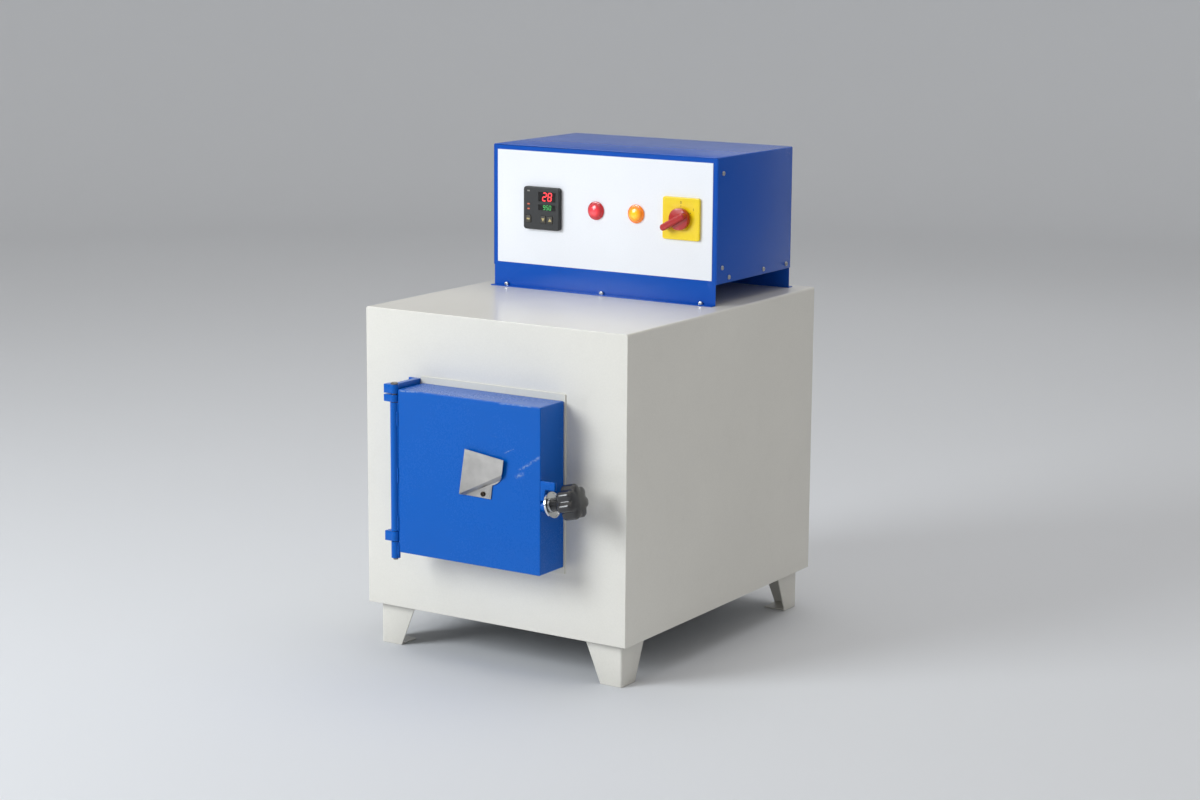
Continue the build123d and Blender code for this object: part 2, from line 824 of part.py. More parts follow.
with BuildPart() as cover_screw:
    head_seat = 2 * cover_lift + cover_sheet
    with BuildSketch(cover_plane.offset(-door_sheet - screw_tail)):
        Circle(cover_screw_radius)
    extrude(amount=door_sheet + screw_tail + head_seat)
    with BuildSketch(cover_plane.offset(head_seat)):
        Circle(cover_screw_head_radius)
    extrude(amount=cover_screw_head_height)
    chamfer(cover_screw.faces().sort_by(Axis.Y)[0].edges(), cover_screw_head_height * 0.4)
cover_screw.part.label = "cover_screw"
export_step(cover_screw.part, "parts/cover_screw.step")

# Door clamp, on an axis that rises to the right from the door's side
clamp_cos = math.cos(math.radians(clamp_tilt))
clamp_sin = math.sin(math.radians(clamp_tilt))
clamp_plane = Plane(
    origin=(door_right, door_front + clamp_behind_face, body_z + clamp_up),
    x_dir=(0, 1, 0),
    z_dir=(clamp_cos, 0, clamp_sin),
)
washer_back = keeper_from_door + keeper_sheet + washer_gap
knob_back = washer_back + washer_rim + fit
knob_face = knob_back + knob_neck_length + knob_length
stud_end = knob_back + knob_neck_length + knob_length / 2

with BuildPart() as clamp_boss:
    with BuildSketch(clamp_plane.offset(-boss_length)):
        Circle(boss_radius)
    extrude(amount=2 * boss_length)
    split(bisect_by=Plane.YZ.offset(door_right), keep=Keep.TOP)
clamp_boss.part.label = "clamp_boss"
export_step(clamp_boss.part, "parts/clamp_boss.step")

with BuildPart() as clamp_stud:
    with BuildSketch(clamp_plane.offset(boss_length)):
        Circle(stud_radius)
    extrude(amount=stud_end - boss_length)
    chamfer(clamp_stud.faces().sort_by(Axis.X)[-1].edges(), stud_radius * 0.2)
clamp_stud.part.label = "clamp_stud"
export_step(clamp_stud.part, "parts/clamp_stud.step")

# Keeper: plate with an open slot, fixed to the cabinet, that the stud swings out of
with BuildPart() as keeper:
    to_cabinet = front - door_front - clamp_behind_face
    with BuildSketch(clamp_plane.offset(keeper_from_door)):
        with Locations(((to_cabinet - keeper_tip) / 2, 0)):
            Rectangle(to_cabinet + keeper_tip, keeper_height)
        fillet(vertices().group_by(Axis.X)[0], keeper_height / 4)
        with Locations((-keeper_tip / 2, 0)):
            Rectangle(keeper_tip, keeper_slot, mode=Mode.SUBTRACT)
        Circle(keeper_slot / 2, mode=Mode.SUBTRACT)
    extrude(amount=keeper_sheet)
    foot_left = door_right + keeper_from_door * clamp_cos - keeper_height / 2 * clamp_sin
    foot_z = body_z + clamp_up + keeper_from_door * clamp_sin
    with BuildSketch(facing(front)):
        with Locations((foot_left + keeper_foot_width / 2, foot_z)):
            Rectangle(keeper_foot_width, keeper_height)
    extrude(amount=keeper_sheet)
keeper.part.label = "keeper"
export_step(keeper.part, "parts/keeper.step")

# Cup washer: dished plate with a turned rim, under the knob
with BuildPart() as cup_washer:
    with BuildSketch(clamp_plane.offset(washer_back)):
        Circle(washer_radius)
    extrude(amount=washer_rim)
    with BuildSketch(clamp_plane.offset(washer_back + washer_sheet)):
        Circle(washer_radius - washer_sheet)
        Circle(knob_neck_radius, mode=Mode.SUBTRACT)
    extrude(amount=washer_rim, mode=Mode.SUBTRACT)
    with BuildSketch(clamp_plane.offset(washer_back)):
        Circle(stud_radius + running_clearance)
    extrude(amount=washer_rim, mode=Mode.SUBTRACT)
cup_washer.part.label = "cup_washer"
export_step(cup_washer.part, "parts/cup_washer.step")

# Star knob: turned body with scallops round its rim, on a neck, with a steel insert
knob_plane = Plane(
    origin=clamp_plane.from_local_coords(Vector(0, 0, knob_back)),
    x_dir=clamp_plane.y_dir,
    z_dir=(0, -1, 0),
)
with BuildPart() as knob:
    rim_start = knob_neck_length + knob_edge_radius
    rim_end = knob_neck_length + knob_length - knob_crown
    with BuildSketch(knob_plane):
        with BuildLine():
            neck = Polyline(
                (0, 0),
                (-knob_neck_radius, 0),
                (-knob_neck_radius, -knob_neck_length),
                (-knob_radius + knob_edge_radius, -knob_neck_length),
                (-knob_radius, -rim_start),
            )
            rim = Line(neck @ 1, (-knob_radius, -rim_end))
            crown_top = (0, -rim_end - knob_crown)
            TangentArc(crown_top, rim @ 1, tangent=(-1, 0))
            Line(crown_top, (0, 0))
        make_face()
    revolve(axis=Axis(knob_plane.origin, clamp_plane.z_dir))
    scallop_centre = knob_radius + knob_scallop_radius - knob_scallop_depth
    with BuildSketch(clamp_plane.offset(knob_back + knob_neck_length)):
        with PolarLocations(scallop_centre, knob_lobes, start_angle=180 / knob_lobes):
            Circle(knob_scallop_radius)
    extrude(amount=knob_length, mode=Mode.SUBTRACT)
    with BuildSketch(clamp_plane.offset(knob_back)):
        Circle(insert_radius + running_clearance)
    extrude(amount=stud_end - knob_back + fit, mode=Mode.SUBTRACT)
knob.part.label = "knob"
export_step(knob.part, "parts/knob.step")

with BuildPart() as knob_insert:
    with BuildSketch(clamp_plane.offset(knob_back)):
        Circle(insert_radius)
        Circle(stud_radius + running_clearance, mode=Mode.SUBTRACT)
    extrude(amount=stud_end - knob_back)
knob_insert.part.label = "knob_insert"
export_step(knob_insert.part, "parts/knob_insert.step")

# Pull tab: flat bar flush with the door's face, stepped to clear the washer
with BuildPart() as pull_tab:
    with BuildSketch(facing(door_front)):
        with BuildLine():
            Polyline(
                (door_right, body_z + tab_top),
                (door_right + tab_reach, body_z + tab_top),
                (door_right + tab_reach, body_z + tab_top - tab_tip_height),
                (door_right + 1.5 * tab_root_width, body_z + tab_top - tab_tip_height),
                (door_right + tab_root_width, body_z + tab_top - tab_root_height),
                (door_right, body_z + tab_top - tab_root_height),
                close=True,
            )
        make_face()
    extrude(amount=-tab_thickness)
    fillet(pull_tab.edges().filter_by(Axis.Y).group_by(Axis.X)[-1], tab_root_width / 3)
pull_tab.part.label = "pull_tab"
export_step(pull_tab.part, "parts/pull_tab.step")

# Where the control box's flanges are screwed down
skirt_screw_x = box_width / 2 - 2 * box_side_flange
skirt_screws = []
for flange_y in (box_front - box_foot_flange / 2, box_back + box_foot_flange / 2):
    for column in (-1, 0, 1):
        skirt_screws.append((column * skirt_screw_x, flange_y))

# Control box chassis: front and rear plates with skirts, a raised tray and side flanges
box_mid_y = (box_front + box_back) / 2
plate_top = box_top - box_sheet - fit
with BuildPart() as box_chassis:
    with BuildSketch(Plane.YZ):
        with Locations((box_front + box_sheet / 2, (top_z + plate_top) / 2)):
            Rectangle(box_sheet, plate_top - top_z)
        with Locations((box_back - box_sheet / 2, (top_z + plate_top) / 2)):
            Rectangle(box_sheet, plate_top - top_z)
        with Locations((box_mid_y, top_z + box_sheet / 2)):
            Rectangle(box_depth + 2 * box_foot_flange, box_sheet)
            Rectangle(box_depth - 2 * box_sheet, box_sheet, mode=Mode.SUBTRACT)
        with Locations((box_mid_y, tray_z - box_sheet / 2)):
            Rectangle(box_depth - box_sheet, box_sheet)
    extrude(amount=box_inner, both=True)
    for flange_x, into in ((box_inner, -box_sheet), (-box_inner, box_sheet)):
        with BuildSketch(Plane.YZ.offset(flange_x)):
            with Locations((box_mid_y, (tray_z - box_sheet + plate_top) / 2)):
                Rectangle(box_depth, plate_top - tray_z + box_sheet)
            window_bottom = tray_z + box_side_flange
            window_top = plate_top - box_side_flange
            with Locations((box_mid_y, (window_bottom + window_top) / 2)):
                Rectangle(
                    box_depth - 2 * box_front_return,
                    window_top - window_bottom,
                    mode=Mode.SUBTRACT,
                )
        extrude(amount=into)
    with BuildSketch(facing(box_front)):
        with Locations((controller_x, controls_z)):
            Rectangle(controller_cutout, controller_cutout)
        with Locations((lamp_red_x, lamp_z), (lamp_amber_x, lamp_z)):
            Circle(lamp_barrel_radius + fit)
        with Locations((switch_x, switch_z)):
            Circle(switch_stem_radius + fit)
    extrude(amount=-box_sheet, mode=Mode.SUBTRACT)
    with BuildSketch(facing(box_back)):
        with Locations((gland_x, top_z + gland_up)):
            Circle(gland_thread_radius + hole_clearance)
    extrude(amount=box_sheet, mode=Mode.SUBTRACT)
    with BuildSketch(Plane.XY.offset(tray_z)):
        with Locations(*lead_places):
            Circle(bushing_radius + fit)
    extrude(amount=-box_sheet, mode=Mode.SUBTRACT)
box_chassis.part.label = "box_chassis"
export_step(box_chassis.part, "parts/box_chassis.step")

with BuildPart() as skirt_screw_set:
    with BuildSketch(Plane.XY.offset(top_z + box_sheet)):
        with Locations(*skirt_screws):
            RegularPolygon(box_screw_head_radius, screw_sides)
    extrude(amount=box_screw_head)
skirt_screw_set.part.label = "skirt_screws"
export_step(skirt_screw_set.part, "parts/skirt_screws.step")

# Control box cover: one sheet over the top and both sides, ending above the cabinet
cover_bottom_z = top_z + box_vent_height
side_screws = (
    (box_front + 0.7 * box_front_return, box_top - 1.1 * box_front_return),
    (box_front + 0.7 * box_front_return, cover_bottom_z + 1.1 * box_front_return),
    (box_front + 40, tray_z + box_side_flange / 2),
    (box_front + 0.62 * box_depth, tray_z + box_side_flange / 2),
    (box_back - 0.7 * box_front_return, tray_z + box_side_flange / 2),
)
with BuildPart() as box_cover:
    with BuildSketch(facing(box_front)):
        with Locations((0, (cover_bottom_z + box_top) / 2)):
            Rectangle(box_width, box_top - cover_bottom_z)
        fillet(vertices().group_by(Axis.Y)[-1], box_corner_radius)
        with Locations((0, (cover_bottom_z + box_top) / 2 - box_sheet / 2)):
            Rectangle(
                box_width - 2 * box_sheet,
                box_top - cover_bottom_z - box_sheet,
                mode=Mode.SUBTRACT,
            )
    extrude(amount=-box_depth)
box_cover.part.label = "box_cover"
export_step(box_cover.part, "parts/box_cover.step")

with BuildPart() as cover_screws:
    for face_x, outward in ((box_width / 2, 1), (-box_width / 2, -1)):
        with BuildSketch(Plane.YZ.offset(face_x)):
            with Locations(*side_screws):
                RegularPolygon(box_screw_head_radius, screw_sides)
        extrude(amount=outward * box_screw_head)
cover_screws.part.label = "cover_screws"
export_step(cover_screws.part, "parts/cover_screws.step")

# Fascia: thin white plate that carries the instruments
with BuildPart() as fascia:
    with BuildSketch(facing(fascia_front)):
        with Locations((0, top_z + fascia_from_cabinet + fascia_height / 2)):
            Rectangle(fascia_width, fascia_height)
        with Locations((controller_x, controls_z)):
            Rectangle(controller_cutout, controller_cutout, mode=Mode.SUBTRACT)
        with Locations((lamp_red_x, lamp_z), (lamp_amber_x, lamp_z)):
            Circle(lamp_barrel_radius + fit, mode=Mode.SUBTRACT)
        with Locations((switch_x, switch_z)):
            Circle(switch_stem_radius + fit, mode=Mode.SUBTRACT)
    extrude(amount=-fascia_sheet)
fascia.part.label = "fascia"
export_step(fascia.part, "parts/fascia.step")

# Temperature controller: bezel and case, two displays and a row of keys
key_places = []
for key_x in (key_left_x, key_middle_x, key_right_x):
    key_places.append((controller_x + key_x, controls_z - key_down))
controller_front = fascia_front - controller_bezel
process_place = (controller_x + display_x, controls_z + process_display_up)
setpoint_place = (controller_x + display_x, controls_z + setpoint_display_up)
with BuildPart() as controller_case:
    with BuildSketch(facing(fascia_front)):
        with Locations((controller_x, controls_z)):
            RectangleRounded(controller_face, controller_face, controller_corner_radius)
    extrude(amount=controller_bezel)
    fillet(controller_case.faces().sort_by(Axis.Y)[0].edges(), display_recess)
    with BuildSketch(facing(fascia_front)):
        with Locations((controller_x, controls_z)):
            Rectangle(controller_body, controller_body)
    extrude(amount=-controller_behind)
    with BuildSketch(facing(controller_front)):
        with Locations(process_place):
            Rectangle(display_width + 2 * fit, process_display_height + 2 * fit)
        with Locations(setpoint_place):
            Rectangle(display_width + 2 * fit, setpoint_display_height + 2 * fit)
    extrude(amount=-display_recess, mode=Mode.SUBTRACT)
    with BuildSketch(facing(controller_front)):
        with Locations(*key_places):
            Rectangle(key_width + 2 * key_clearance, key_height + 2 * key_clearance)
    extrude(amount=-(key_length - key_proud + key_travel + key_clearance), mode=Mode.SUBTRACT)
controller_case.part.label = "controller_case"
export_step(controller_case.part, "parts/controller_case.step")

with BuildPart() as controller_displays:
    with BuildSketch(facing(controller_front + display_recess)):
        with Locations(process_place):
            Rectangle(display_width, process_display_height)
        with Locations(setpoint_place):
            Rectangle(display_width, setpoint_display_height)
    extrude(amount=display_thickness)
controller_displays.part.label = "controller_displays"
export_step(controller_displays.part, "parts/controller_displays.step")

for key_number, place in enumerate(key_places, start=1):
    with BuildPart() as key:
        with BuildSketch(facing(controller_front - key_proud)):
            with Locations(place):
                RectangleRounded(key_width, key_height, key_proud)
        extrude(amount=-key_length)
        chamfer(key.faces().sort_by(Axis.Y)[0].edges(), key_proud / 3)
    key.part.label = f"key_{key_number}"
    export_step(key.part, f"parts/key_{key_number}.step")

# Pilot lamps: domed coloured lens in front, threaded barrel and nut behind the panel
panel_back = box_front + box_sheet
for lamp_name, lamp_x in (("red", lamp_red_x), ("amber", lamp_amber_x)):
    with BuildPart() as lamp_lens:
        with BuildSketch(facing(fascia_front)):
            with Locations((lamp_x, lamp_z)):
                Circle(lamp_flange_radius)
        extrude(amount=lamp_flange)
        with BuildSketch(facing(fascia_front - lamp_flange)):
            with Locations((lamp_x, lamp_z)):
                Circle(lamp_dome_radius)
        extrude(amount=lamp_height - lamp_flange)
        chamfer(lamp_lens.faces().sort_by(Axis.Y)[0].edges(), (lamp_height - lamp_flange) * 0.6)
    lamp_lens.part.label = f"lamp_{lamp_name}_lens"
    export_step(lamp_lens.part, f"parts/lamp_{lamp_name}_lens.step")

with BuildPart() as lamp_bodies:
    lamp_places = ((lamp_red_x, lamp_z), (lamp_amber_x, lamp_z))
    with BuildSketch(facing(fascia_front)):
        with Locations(*lamp_places):
            Circle(lamp_barrel_radius)
    extrude(amount=-lamp_barrel_length)
    with BuildSketch(facing(panel_back)):
        with Locations(*lamp_places):
            RegularPolygon(lamp_nut_radius, 6)
    extrude(amount=-lamp_nut)
lamp_bodies.part.label = "lamp_bodies"
export_step(lamp_bodies.part, "parts/lamp_bodies.step")

# Main switch: plate on the fascia, body behind it and a turning handle
with BuildPart() as switch_face:
    with BuildSketch(facing(fascia_front)):
        with Locations((switch_x, switch_z)):
            RectangleRounded(switch_plate, switch_plate, switch_plate_corner)
            Circle(switch_stem_radius + running_clearance, mode=Mode.SUBTRACT)
    extrude(amount=switch_plate_thickness)
    fillet(switch_face.faces().sort_by(Axis.Y)[0].outer_wire().edges(), switch_plate_thickness / 4)
switch_face.part.label = "switch_face"
export_step(switch_face.part, "parts/switch_face.step")

with BuildPart() as switch_box:
    with BuildSketch(facing(panel_back)):
        with Locations((switch_x, switch_z)):
            Rectangle(switch_body, switch_body)
    extrude(amount=-switch_body_depth)
    with BuildSketch(facing(panel_back + switch_body_depth / 3)):
        with Locations((switch_x, switch_z)):
            Rectangle(switch_body + 2 * switch_plate_thickness, switch_body)
    extrude(amount=-switch_body_depth / 2)
switch_box.part.label = "switch_box"
export_step(switch_box.part, "parts/switch_box.step")

handle_back = fascia_front - switch_plate_thickness - fit
with BuildPart() as switch_handle:
    with BuildSketch(facing(handle_back)):
        with Locations((switch_x, switch_z)):
            Circle(handle_radius)
    extrude(amount=handle_disc)
    with BuildSketch(facing(handle_back)):
        with Locations(Location((switch_x, switch_z), handle_angle)):
            with Locations(((handle_head - handle_tail) / 2, 0)):
                SlotOverall(handle_head + handle_tail, handle_grip_width)
    extrude(amount=handle_disc + handle_grip_height)
    chamfer(switch_handle.faces().sort_by(Axis.Y)[0].edges(), handle_grip_width / 6)
    with BuildSketch(facing(handle_back)):
        with Locations((switch_x, switch_z)):
            Circle(switch_stem_radius)
    extrude(amount=-(panel_back - handle_back - fit))
switch_handle.part.label = "switch_handle"
export_step(switch_handle.part, "parts/switch_handle.step")

# Inside the control box: contactor, terminal strip and control transformer on the tray
with BuildPart() as contactor:
    with BuildSketch(Plane.YZ.offset(contactor_x - contactor_width / 2)):
        with BuildLine():
            Polyline(
                (box_mid_y - contactor_depth / 2, tray_z),
                (box_mid_y + contactor_depth / 2, tray_z),
                (box_mid_y + contactor_depth / 2, tray_z + contactor_height - 2 * contactor_step),
                (box_mid_y + contactor_depth / 2 - contactor_step, tray_z + contactor_height - 2 * contactor_step),
                (box_mid_y + contactor_depth / 2 - contactor_step, tray_z + contactor_height),
                (box_mid_y - contactor_depth / 2 + contactor_step, tray_z + contactor_height),
                (box_mid_y - contactor_depth / 2 + contactor_step, tray_z + contactor_height - 2 * contactor_step),
                (box_mid_y - contactor_depth / 2, tray_z + contactor_height - 2 * contactor_step),
                close=True,
            )
        make_face()
    extrude(amount=contactor_width)
contactor.part.label = "contactor"
export_step(contactor.part, "parts/contactor.step")

with BuildPart() as terminal_strip:
    strip_y = box_back - box_sheet - 2 * terminal_strip_depth
    with BuildSketch(Plane.XY.offset(tray_z)):
        with Locations((terminal_strip_x, strip_y)):
            Rectangle(terminal_strip_length, terminal_strip_depth)
    extrude(amount=terminal_strip_height)
    notch_count = int(terminal_strip_length / terminal_pitch) - 1
    with BuildSketch(Plane.XY.offset(tray_z + terminal_strip_height)):
        with Locations((terminal_strip_x, strip_y)):
            with GridLocations(terminal_pitch, 1, notch_count, 1):
                Rectangle(terminal_pitch / 8, terminal_strip_depth)
    extrude(amount=-terminal_strip_height / 3, mode=Mode.SUBTRACT)
terminal_strip.part.label = "terminal_strip"
export_step(terminal_strip.part, "parts/terminal_strip.step")

with BuildPart() as control_transformer:
    transformer_y = box_mid_y + core_depth
    with BuildSketch(Plane.XY.offset(tray_z)):
        with Locations((transformer_x, transformer_y - core_depth)):
            Rectangle(core_width, core_depth)
    extrude(amount=core_height)
    with BuildSketch(Plane.XY.offset(tray_z + (core_height - coil_height) / 2)):
        with Locations((transformer_x, transformer_y - core_depth)):
            RectangleRounded(core_width / 2, coil_depth, core_depth / 4)
    extrude(amount=coil_height)
control_transformer.part.label = "control_transformer"
export_step(control_transformer.part, "parts/control_transformer.step")

# Mains cable gland in the rear plate, empty
gland_place = (gland_x, top_z + gland_up)
with BuildPart() as mains_gland:
    with BuildSketch(facing(box_back + fit)):
        with Locations(gland_place):
            RegularPolygon(gland_hex / 2, 6, major_radius=False)
    extrude(amount=-gland_hex_length)
    with BuildSketch(facing(box_back + fit + gland_hex_length)):
        with Locations(gland_place):
            Circle(gland_dome_radius)
    extrude(amount=-gland_dome_length)
    chamfer(mains_gland.faces().sort_by(Axis.Y)[-1].edges(), gland_dome_radius - gland_bore - 1)
    with BuildSketch(facing(box_back + fit)):
        with Locations(gland_place):
            Circle(gland_thread_radius)
    extrude(amount=gland_inside)
    with BuildSketch(facing(box_back - box_sheet - fit)):
        with Locations(gland_place):
            RegularPolygon(gland_hex / 2, 6, major_radius=False)
    extrude(amount=gland_hex_length / 2)
    with BuildSketch(facing(box_back + gland_hex_length + gland_dome_length + 1)):
        with Locations(gland_place):
            Circle(gland_bore)
    extrude(amount=gland_hex_length + gland_dome_length + gland_inside + 2, mode=Mode.SUBTRACT)
mains_gland.part.label = "mains_gland"
export_step(mains_gland.part, "parts/mains_gland.step")
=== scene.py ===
"""Finishes, fasteners, dials and studio for an electric muffle furnace."""

import json
import math
from functools import partialmethod

import bmesh
import bpy
from mathutils import Matrix, Vector

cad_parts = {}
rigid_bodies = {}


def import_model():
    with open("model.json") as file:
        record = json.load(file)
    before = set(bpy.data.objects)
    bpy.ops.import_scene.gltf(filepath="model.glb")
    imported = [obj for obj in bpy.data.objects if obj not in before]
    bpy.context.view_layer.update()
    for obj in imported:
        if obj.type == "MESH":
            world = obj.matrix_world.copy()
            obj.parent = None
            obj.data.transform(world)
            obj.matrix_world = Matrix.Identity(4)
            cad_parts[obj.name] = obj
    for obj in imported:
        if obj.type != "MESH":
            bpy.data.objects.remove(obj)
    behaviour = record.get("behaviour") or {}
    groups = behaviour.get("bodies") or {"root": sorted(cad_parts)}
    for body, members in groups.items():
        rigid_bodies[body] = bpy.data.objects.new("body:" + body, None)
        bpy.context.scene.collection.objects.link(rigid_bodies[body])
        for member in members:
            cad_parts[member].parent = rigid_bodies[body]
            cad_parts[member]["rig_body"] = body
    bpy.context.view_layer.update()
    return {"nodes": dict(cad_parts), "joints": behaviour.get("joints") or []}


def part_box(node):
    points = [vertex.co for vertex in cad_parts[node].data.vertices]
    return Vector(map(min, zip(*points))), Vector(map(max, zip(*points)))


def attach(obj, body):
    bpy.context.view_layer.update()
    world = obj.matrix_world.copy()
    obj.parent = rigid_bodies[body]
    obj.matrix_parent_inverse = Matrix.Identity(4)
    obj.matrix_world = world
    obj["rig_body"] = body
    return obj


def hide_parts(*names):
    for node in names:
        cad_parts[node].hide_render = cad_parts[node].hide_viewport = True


bl_info = {
    "name": "Muffle Furnace",
    "version": (1, 0, 0),
    "blender": (4, 5, 0),
    "location": "View3D > Sidebar > Furnace",
    "description": "Finishes, fasteners, dials and studio for an electric muffle furnace",
    "category": "Object",
}

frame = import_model()
BODY = "furnace_body"
FORWARDS = (0, -1, 0)
TOUCHING = 1e-6  # metres between vertices that count as one


def mm(value):
    """Millimetres as metres."""
    return value / 1000


def linear(red, green, blue):
    """A screen colour, 0 to 255, as the linear colour that shaders take."""

    def one(part):
        part = part / 255
        return part / 12.92 if part <= 0.04045 else ((part + 0.055) / 1.055) ** 2.4

    return one(red), one(green), one(blue)


def rgba(colour, gain=1.0):
    """A colour with its alpha, brightened or darkened by gain."""
    return tuple(min(part * gain, 1.0) for part in colour[:3]) + (1.0,)


def cos_sin(degrees):
    return math.cos(math.radians(degrees)), math.sin(math.radians(degrees))


# Where things are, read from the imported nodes, in millimetres


def low(node):
    return [part * 1000 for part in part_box(node)[0]]


def high(node):
    return [part * 1000 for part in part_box(node)[1]]


def centre(node):
    return [(a + b) / 2 for a, b in zip(low(node), high(node))]


def welded(mesh):
    """A bmesh of a mesh, its doubles merged."""
    shape = bmesh.new()
    shape.from_mesh(mesh)
    bmesh.ops.remove_doubles(shape, verts=shape.verts, dist=TOUCHING)
    return shape


def islands(node):
    """The low and high corners of each separate solid in a node, in the order of their vertices."""
    shape = welded(frame["nodes"][node].data)
    seen, found = set(), []
    for first in shape.verts:
        if first in seen:
            continue
        seen.add(first)
        queue, group = [first], []
        while queue:
            vert = queue.pop()
            group.append(vert.co.copy())
            for edge in vert.link_edges:
                other = edge.other_vert(vert)
                if other not in seen:
                    seen.add(other)
                    queue.append(other)
        found.append(
            [[pick(co[i] for co in group) * 1000 for i in range(3)] for pick in (min, max)]
        )
    shape.free()
    return found


# Node graphs


class Value:
    """A node socket that takes part in ordinary arithmetic."""

    def __init__(self, graph, socket):
        self.graph = graph
        self.socket = socket

    def math(self, operation, *others, clamp=False):
        settings = {"operation": operation, "use_clamp": clamp}
        terms = dict(enumerate((self, *others)))
        return self.graph.value("ShaderNodeMath", settings, terms)

    __add__ = __radd__ = partialmethod(math, "ADD")
    __sub__ = partialmethod(math, "SUBTRACT")
    __mul__ = __rmul__ = partialmethod(math, "MULTIPLY")
    __pow__ = partialmethod(math, "POWER")
    __abs__ = partialmethod(math, "ABSOLUTE")
    most = partialmethod(math, "MAXIMUM")
    least = partialmethod(math, "MINIMUM")
    sine = partialmethod(math, "SINE")

    def __rsub__(self, other):
        return self * -1.0 + other

    def ramp(self, start, end):
        """0 at start, 1 at end and straight between them; end may be the smaller."""
        return (self - start).math("DIVIDE", end - start, clamp=True)


class Graph:
    """Adds nodes to one tree."""

    def __init__(self, tree):
        self.tree = tree

    def give(self, socket, given):
        """Links a Value to a socket, or sets the socket to a plain value."""
        if isinstance(given, Value):
            self.tree.links.new(given.socket, socket)
        else:
            socket.default_value = given

    def node(self, kind, settings=None, inputs=None):
        made = self.tree.nodes.new(kind)
        for name, setting in (settings or {}).items():
            setattr(made, name, setting)
        for name, given in (inputs or {}).items():
            self.give(made.inputs[name], given)
        return made

    def value(self, kind, settings=None, inputs=None, output=0):
        return Value(self, self.node(kind, settings, inputs).outputs[output])


class Finish(Graph):
    """One material, built round a single Principled shader."""

    def __init__(self, name, **constants):
        self.material = bpy.data.materials.new(name)
        self.material.use_nodes = True
        super().__init__(self.material.node_tree)
        self.tree.nodes.clear()
        sockets = {
            key.replace("_", " ").title().replace("Ior", "IOR"): given
            for key, given in constants.items()
        }
        self.shader = self.node("ShaderNodeBsdfPrincipled", inputs=sockets)
        self.node("ShaderNodeOutputMaterial", inputs={0: Value(self, self.shader.outputs[0])})
        self.place = self.value("ShaderNodeTexCoord", output=3)

    def set(self, name, given):
        self.give(self.shader.inputs[name], given)

    def noise(self, size, detail=2.0, rough=0.5, along=None, turn=(0, 0, 0)):
        """Soft noise with features of a size in millimetres; along stretches them."""
        where = self.place
        if along is not None:
            inputs = {"Vector": where, "Scale": along, "Rotation": turn}
            where = self.value("ShaderNodeMapping", inputs=inputs)
        given = {"Vector": where, "Scale": 1 / mm(size), "Detail": detail, "Roughness": rough}
        return self.value("ShaderNodeTexNoise", inputs=given)

    def cells(self, size):
        """Distance from the nearest of points that lie a size in millimetres apart."""
        given = {"Vector": self.place, "Scale": 1 / mm(size)}
        return self.value("ShaderNodeTexVoronoi", inputs=given)

    def xyz(self):
        split = self.node("ShaderNodeSeparateXYZ", inputs={"Vector": self.place})
        return [Value(self, socket) for socket in split.outputs]

    def mix(self, amount, first, second):
        inputs = {0: amount, 6: first, 7: second}
        return self.value("ShaderNodeMix", {"data_type": "RGBA"}, inputs, output=2)

    def tint(self, amount, colour, dark, light):
        """A colour that goes from one gain to another with amount."""
        return self.mix(amount, rgba(colour, dark), rgba(colour, light))

    def bump(self, *layers):
        """Layers of (height, depth in millimetres, strength), each laid on the last."""
        normal = None
        for height, depth, strength in layers:
            inputs = {"Height": height, "Distance": mm(depth), "Strength": strength}
            if normal is not None:
                inputs["Normal"] = normal
            normal = self.value("ShaderNodeBump", inputs=inputs)
        self.set("Normal", normal)


# Finishes

DUST = rgba(linear(142, 134, 116))
# Paler blue that the streaks painted on the door's front and the hairline scratches both take
PALE_DOOR_BLUE = rgba(linear(150, 172, 205))
TARNISH = rgba(linear(112, 88, 62))
SCORCH = rgba(linear(150, 118, 88))
# Both ends of each paler streak painted on the door's front, as x and z, and its half width, in
# millimetres
PALE_STREAKS = (
    ((97, 348), (135, 373), 3.0),
    ((92, 337), (103, 343), 4.5),
    ((-132, 448), (-96, 450), 2.0),
    ((60, 449), (118, 450), 1.6),
    ((70, 372), (86, 380), 1.3),
)
DUST_RISE = 95  # millimetres above ground over which dust thins out
LENS_RADIUS = 13.0
LENS_BRIGHT_RADIUS = 4.0
LENS_RING_PITCH = 1.6


def coat_paint(
    name, colour, roughness=0.4, peel=1.0, dust=0.06, gloss=0.15, ground=0.0, shine=0.4
):
    """Sprayed and baked paint: faint orange peel, uneven gloss, a little dust above ground."""
    paint = Finish(name, coat_roughness=0.15, coat_weight=gloss, specular_ior_level=shine)
    clouds = paint.noise(210, 3)
    grain = paint.noise(2.2, 2)
    tone = (clouds * 0.6 + grain * 0.4).ramp(0.35, 0.68)
    base = paint.tint(tone, colour, 0.955, 1.02)
    height = paint.xyz()[2]
    wisps = paint.noise(38, 4, 0.65).ramp(0.55, 0.85)
    grime = height.ramp(mm(ground + DUST_RISE), mm(ground)) * (0.35 + 0.65 * wisps)
    grime = grime.most(wisps * 0.2) * dust * 4
    paint.set("Base Color", paint.mix(grime.least(1.0), base, DUST))
    paint.set("Roughness", roughness + (clouds - 0.5) * 0.12 + grain * 0.05 + grime * 0.2)
    waves = paint.noise(160, 1)
    orange = paint.noise(1.9, 2, 0.4)
    paint.bump((waves, 2.2, 0.12), (orange, 0.11 * peel, 0.35))
    return paint


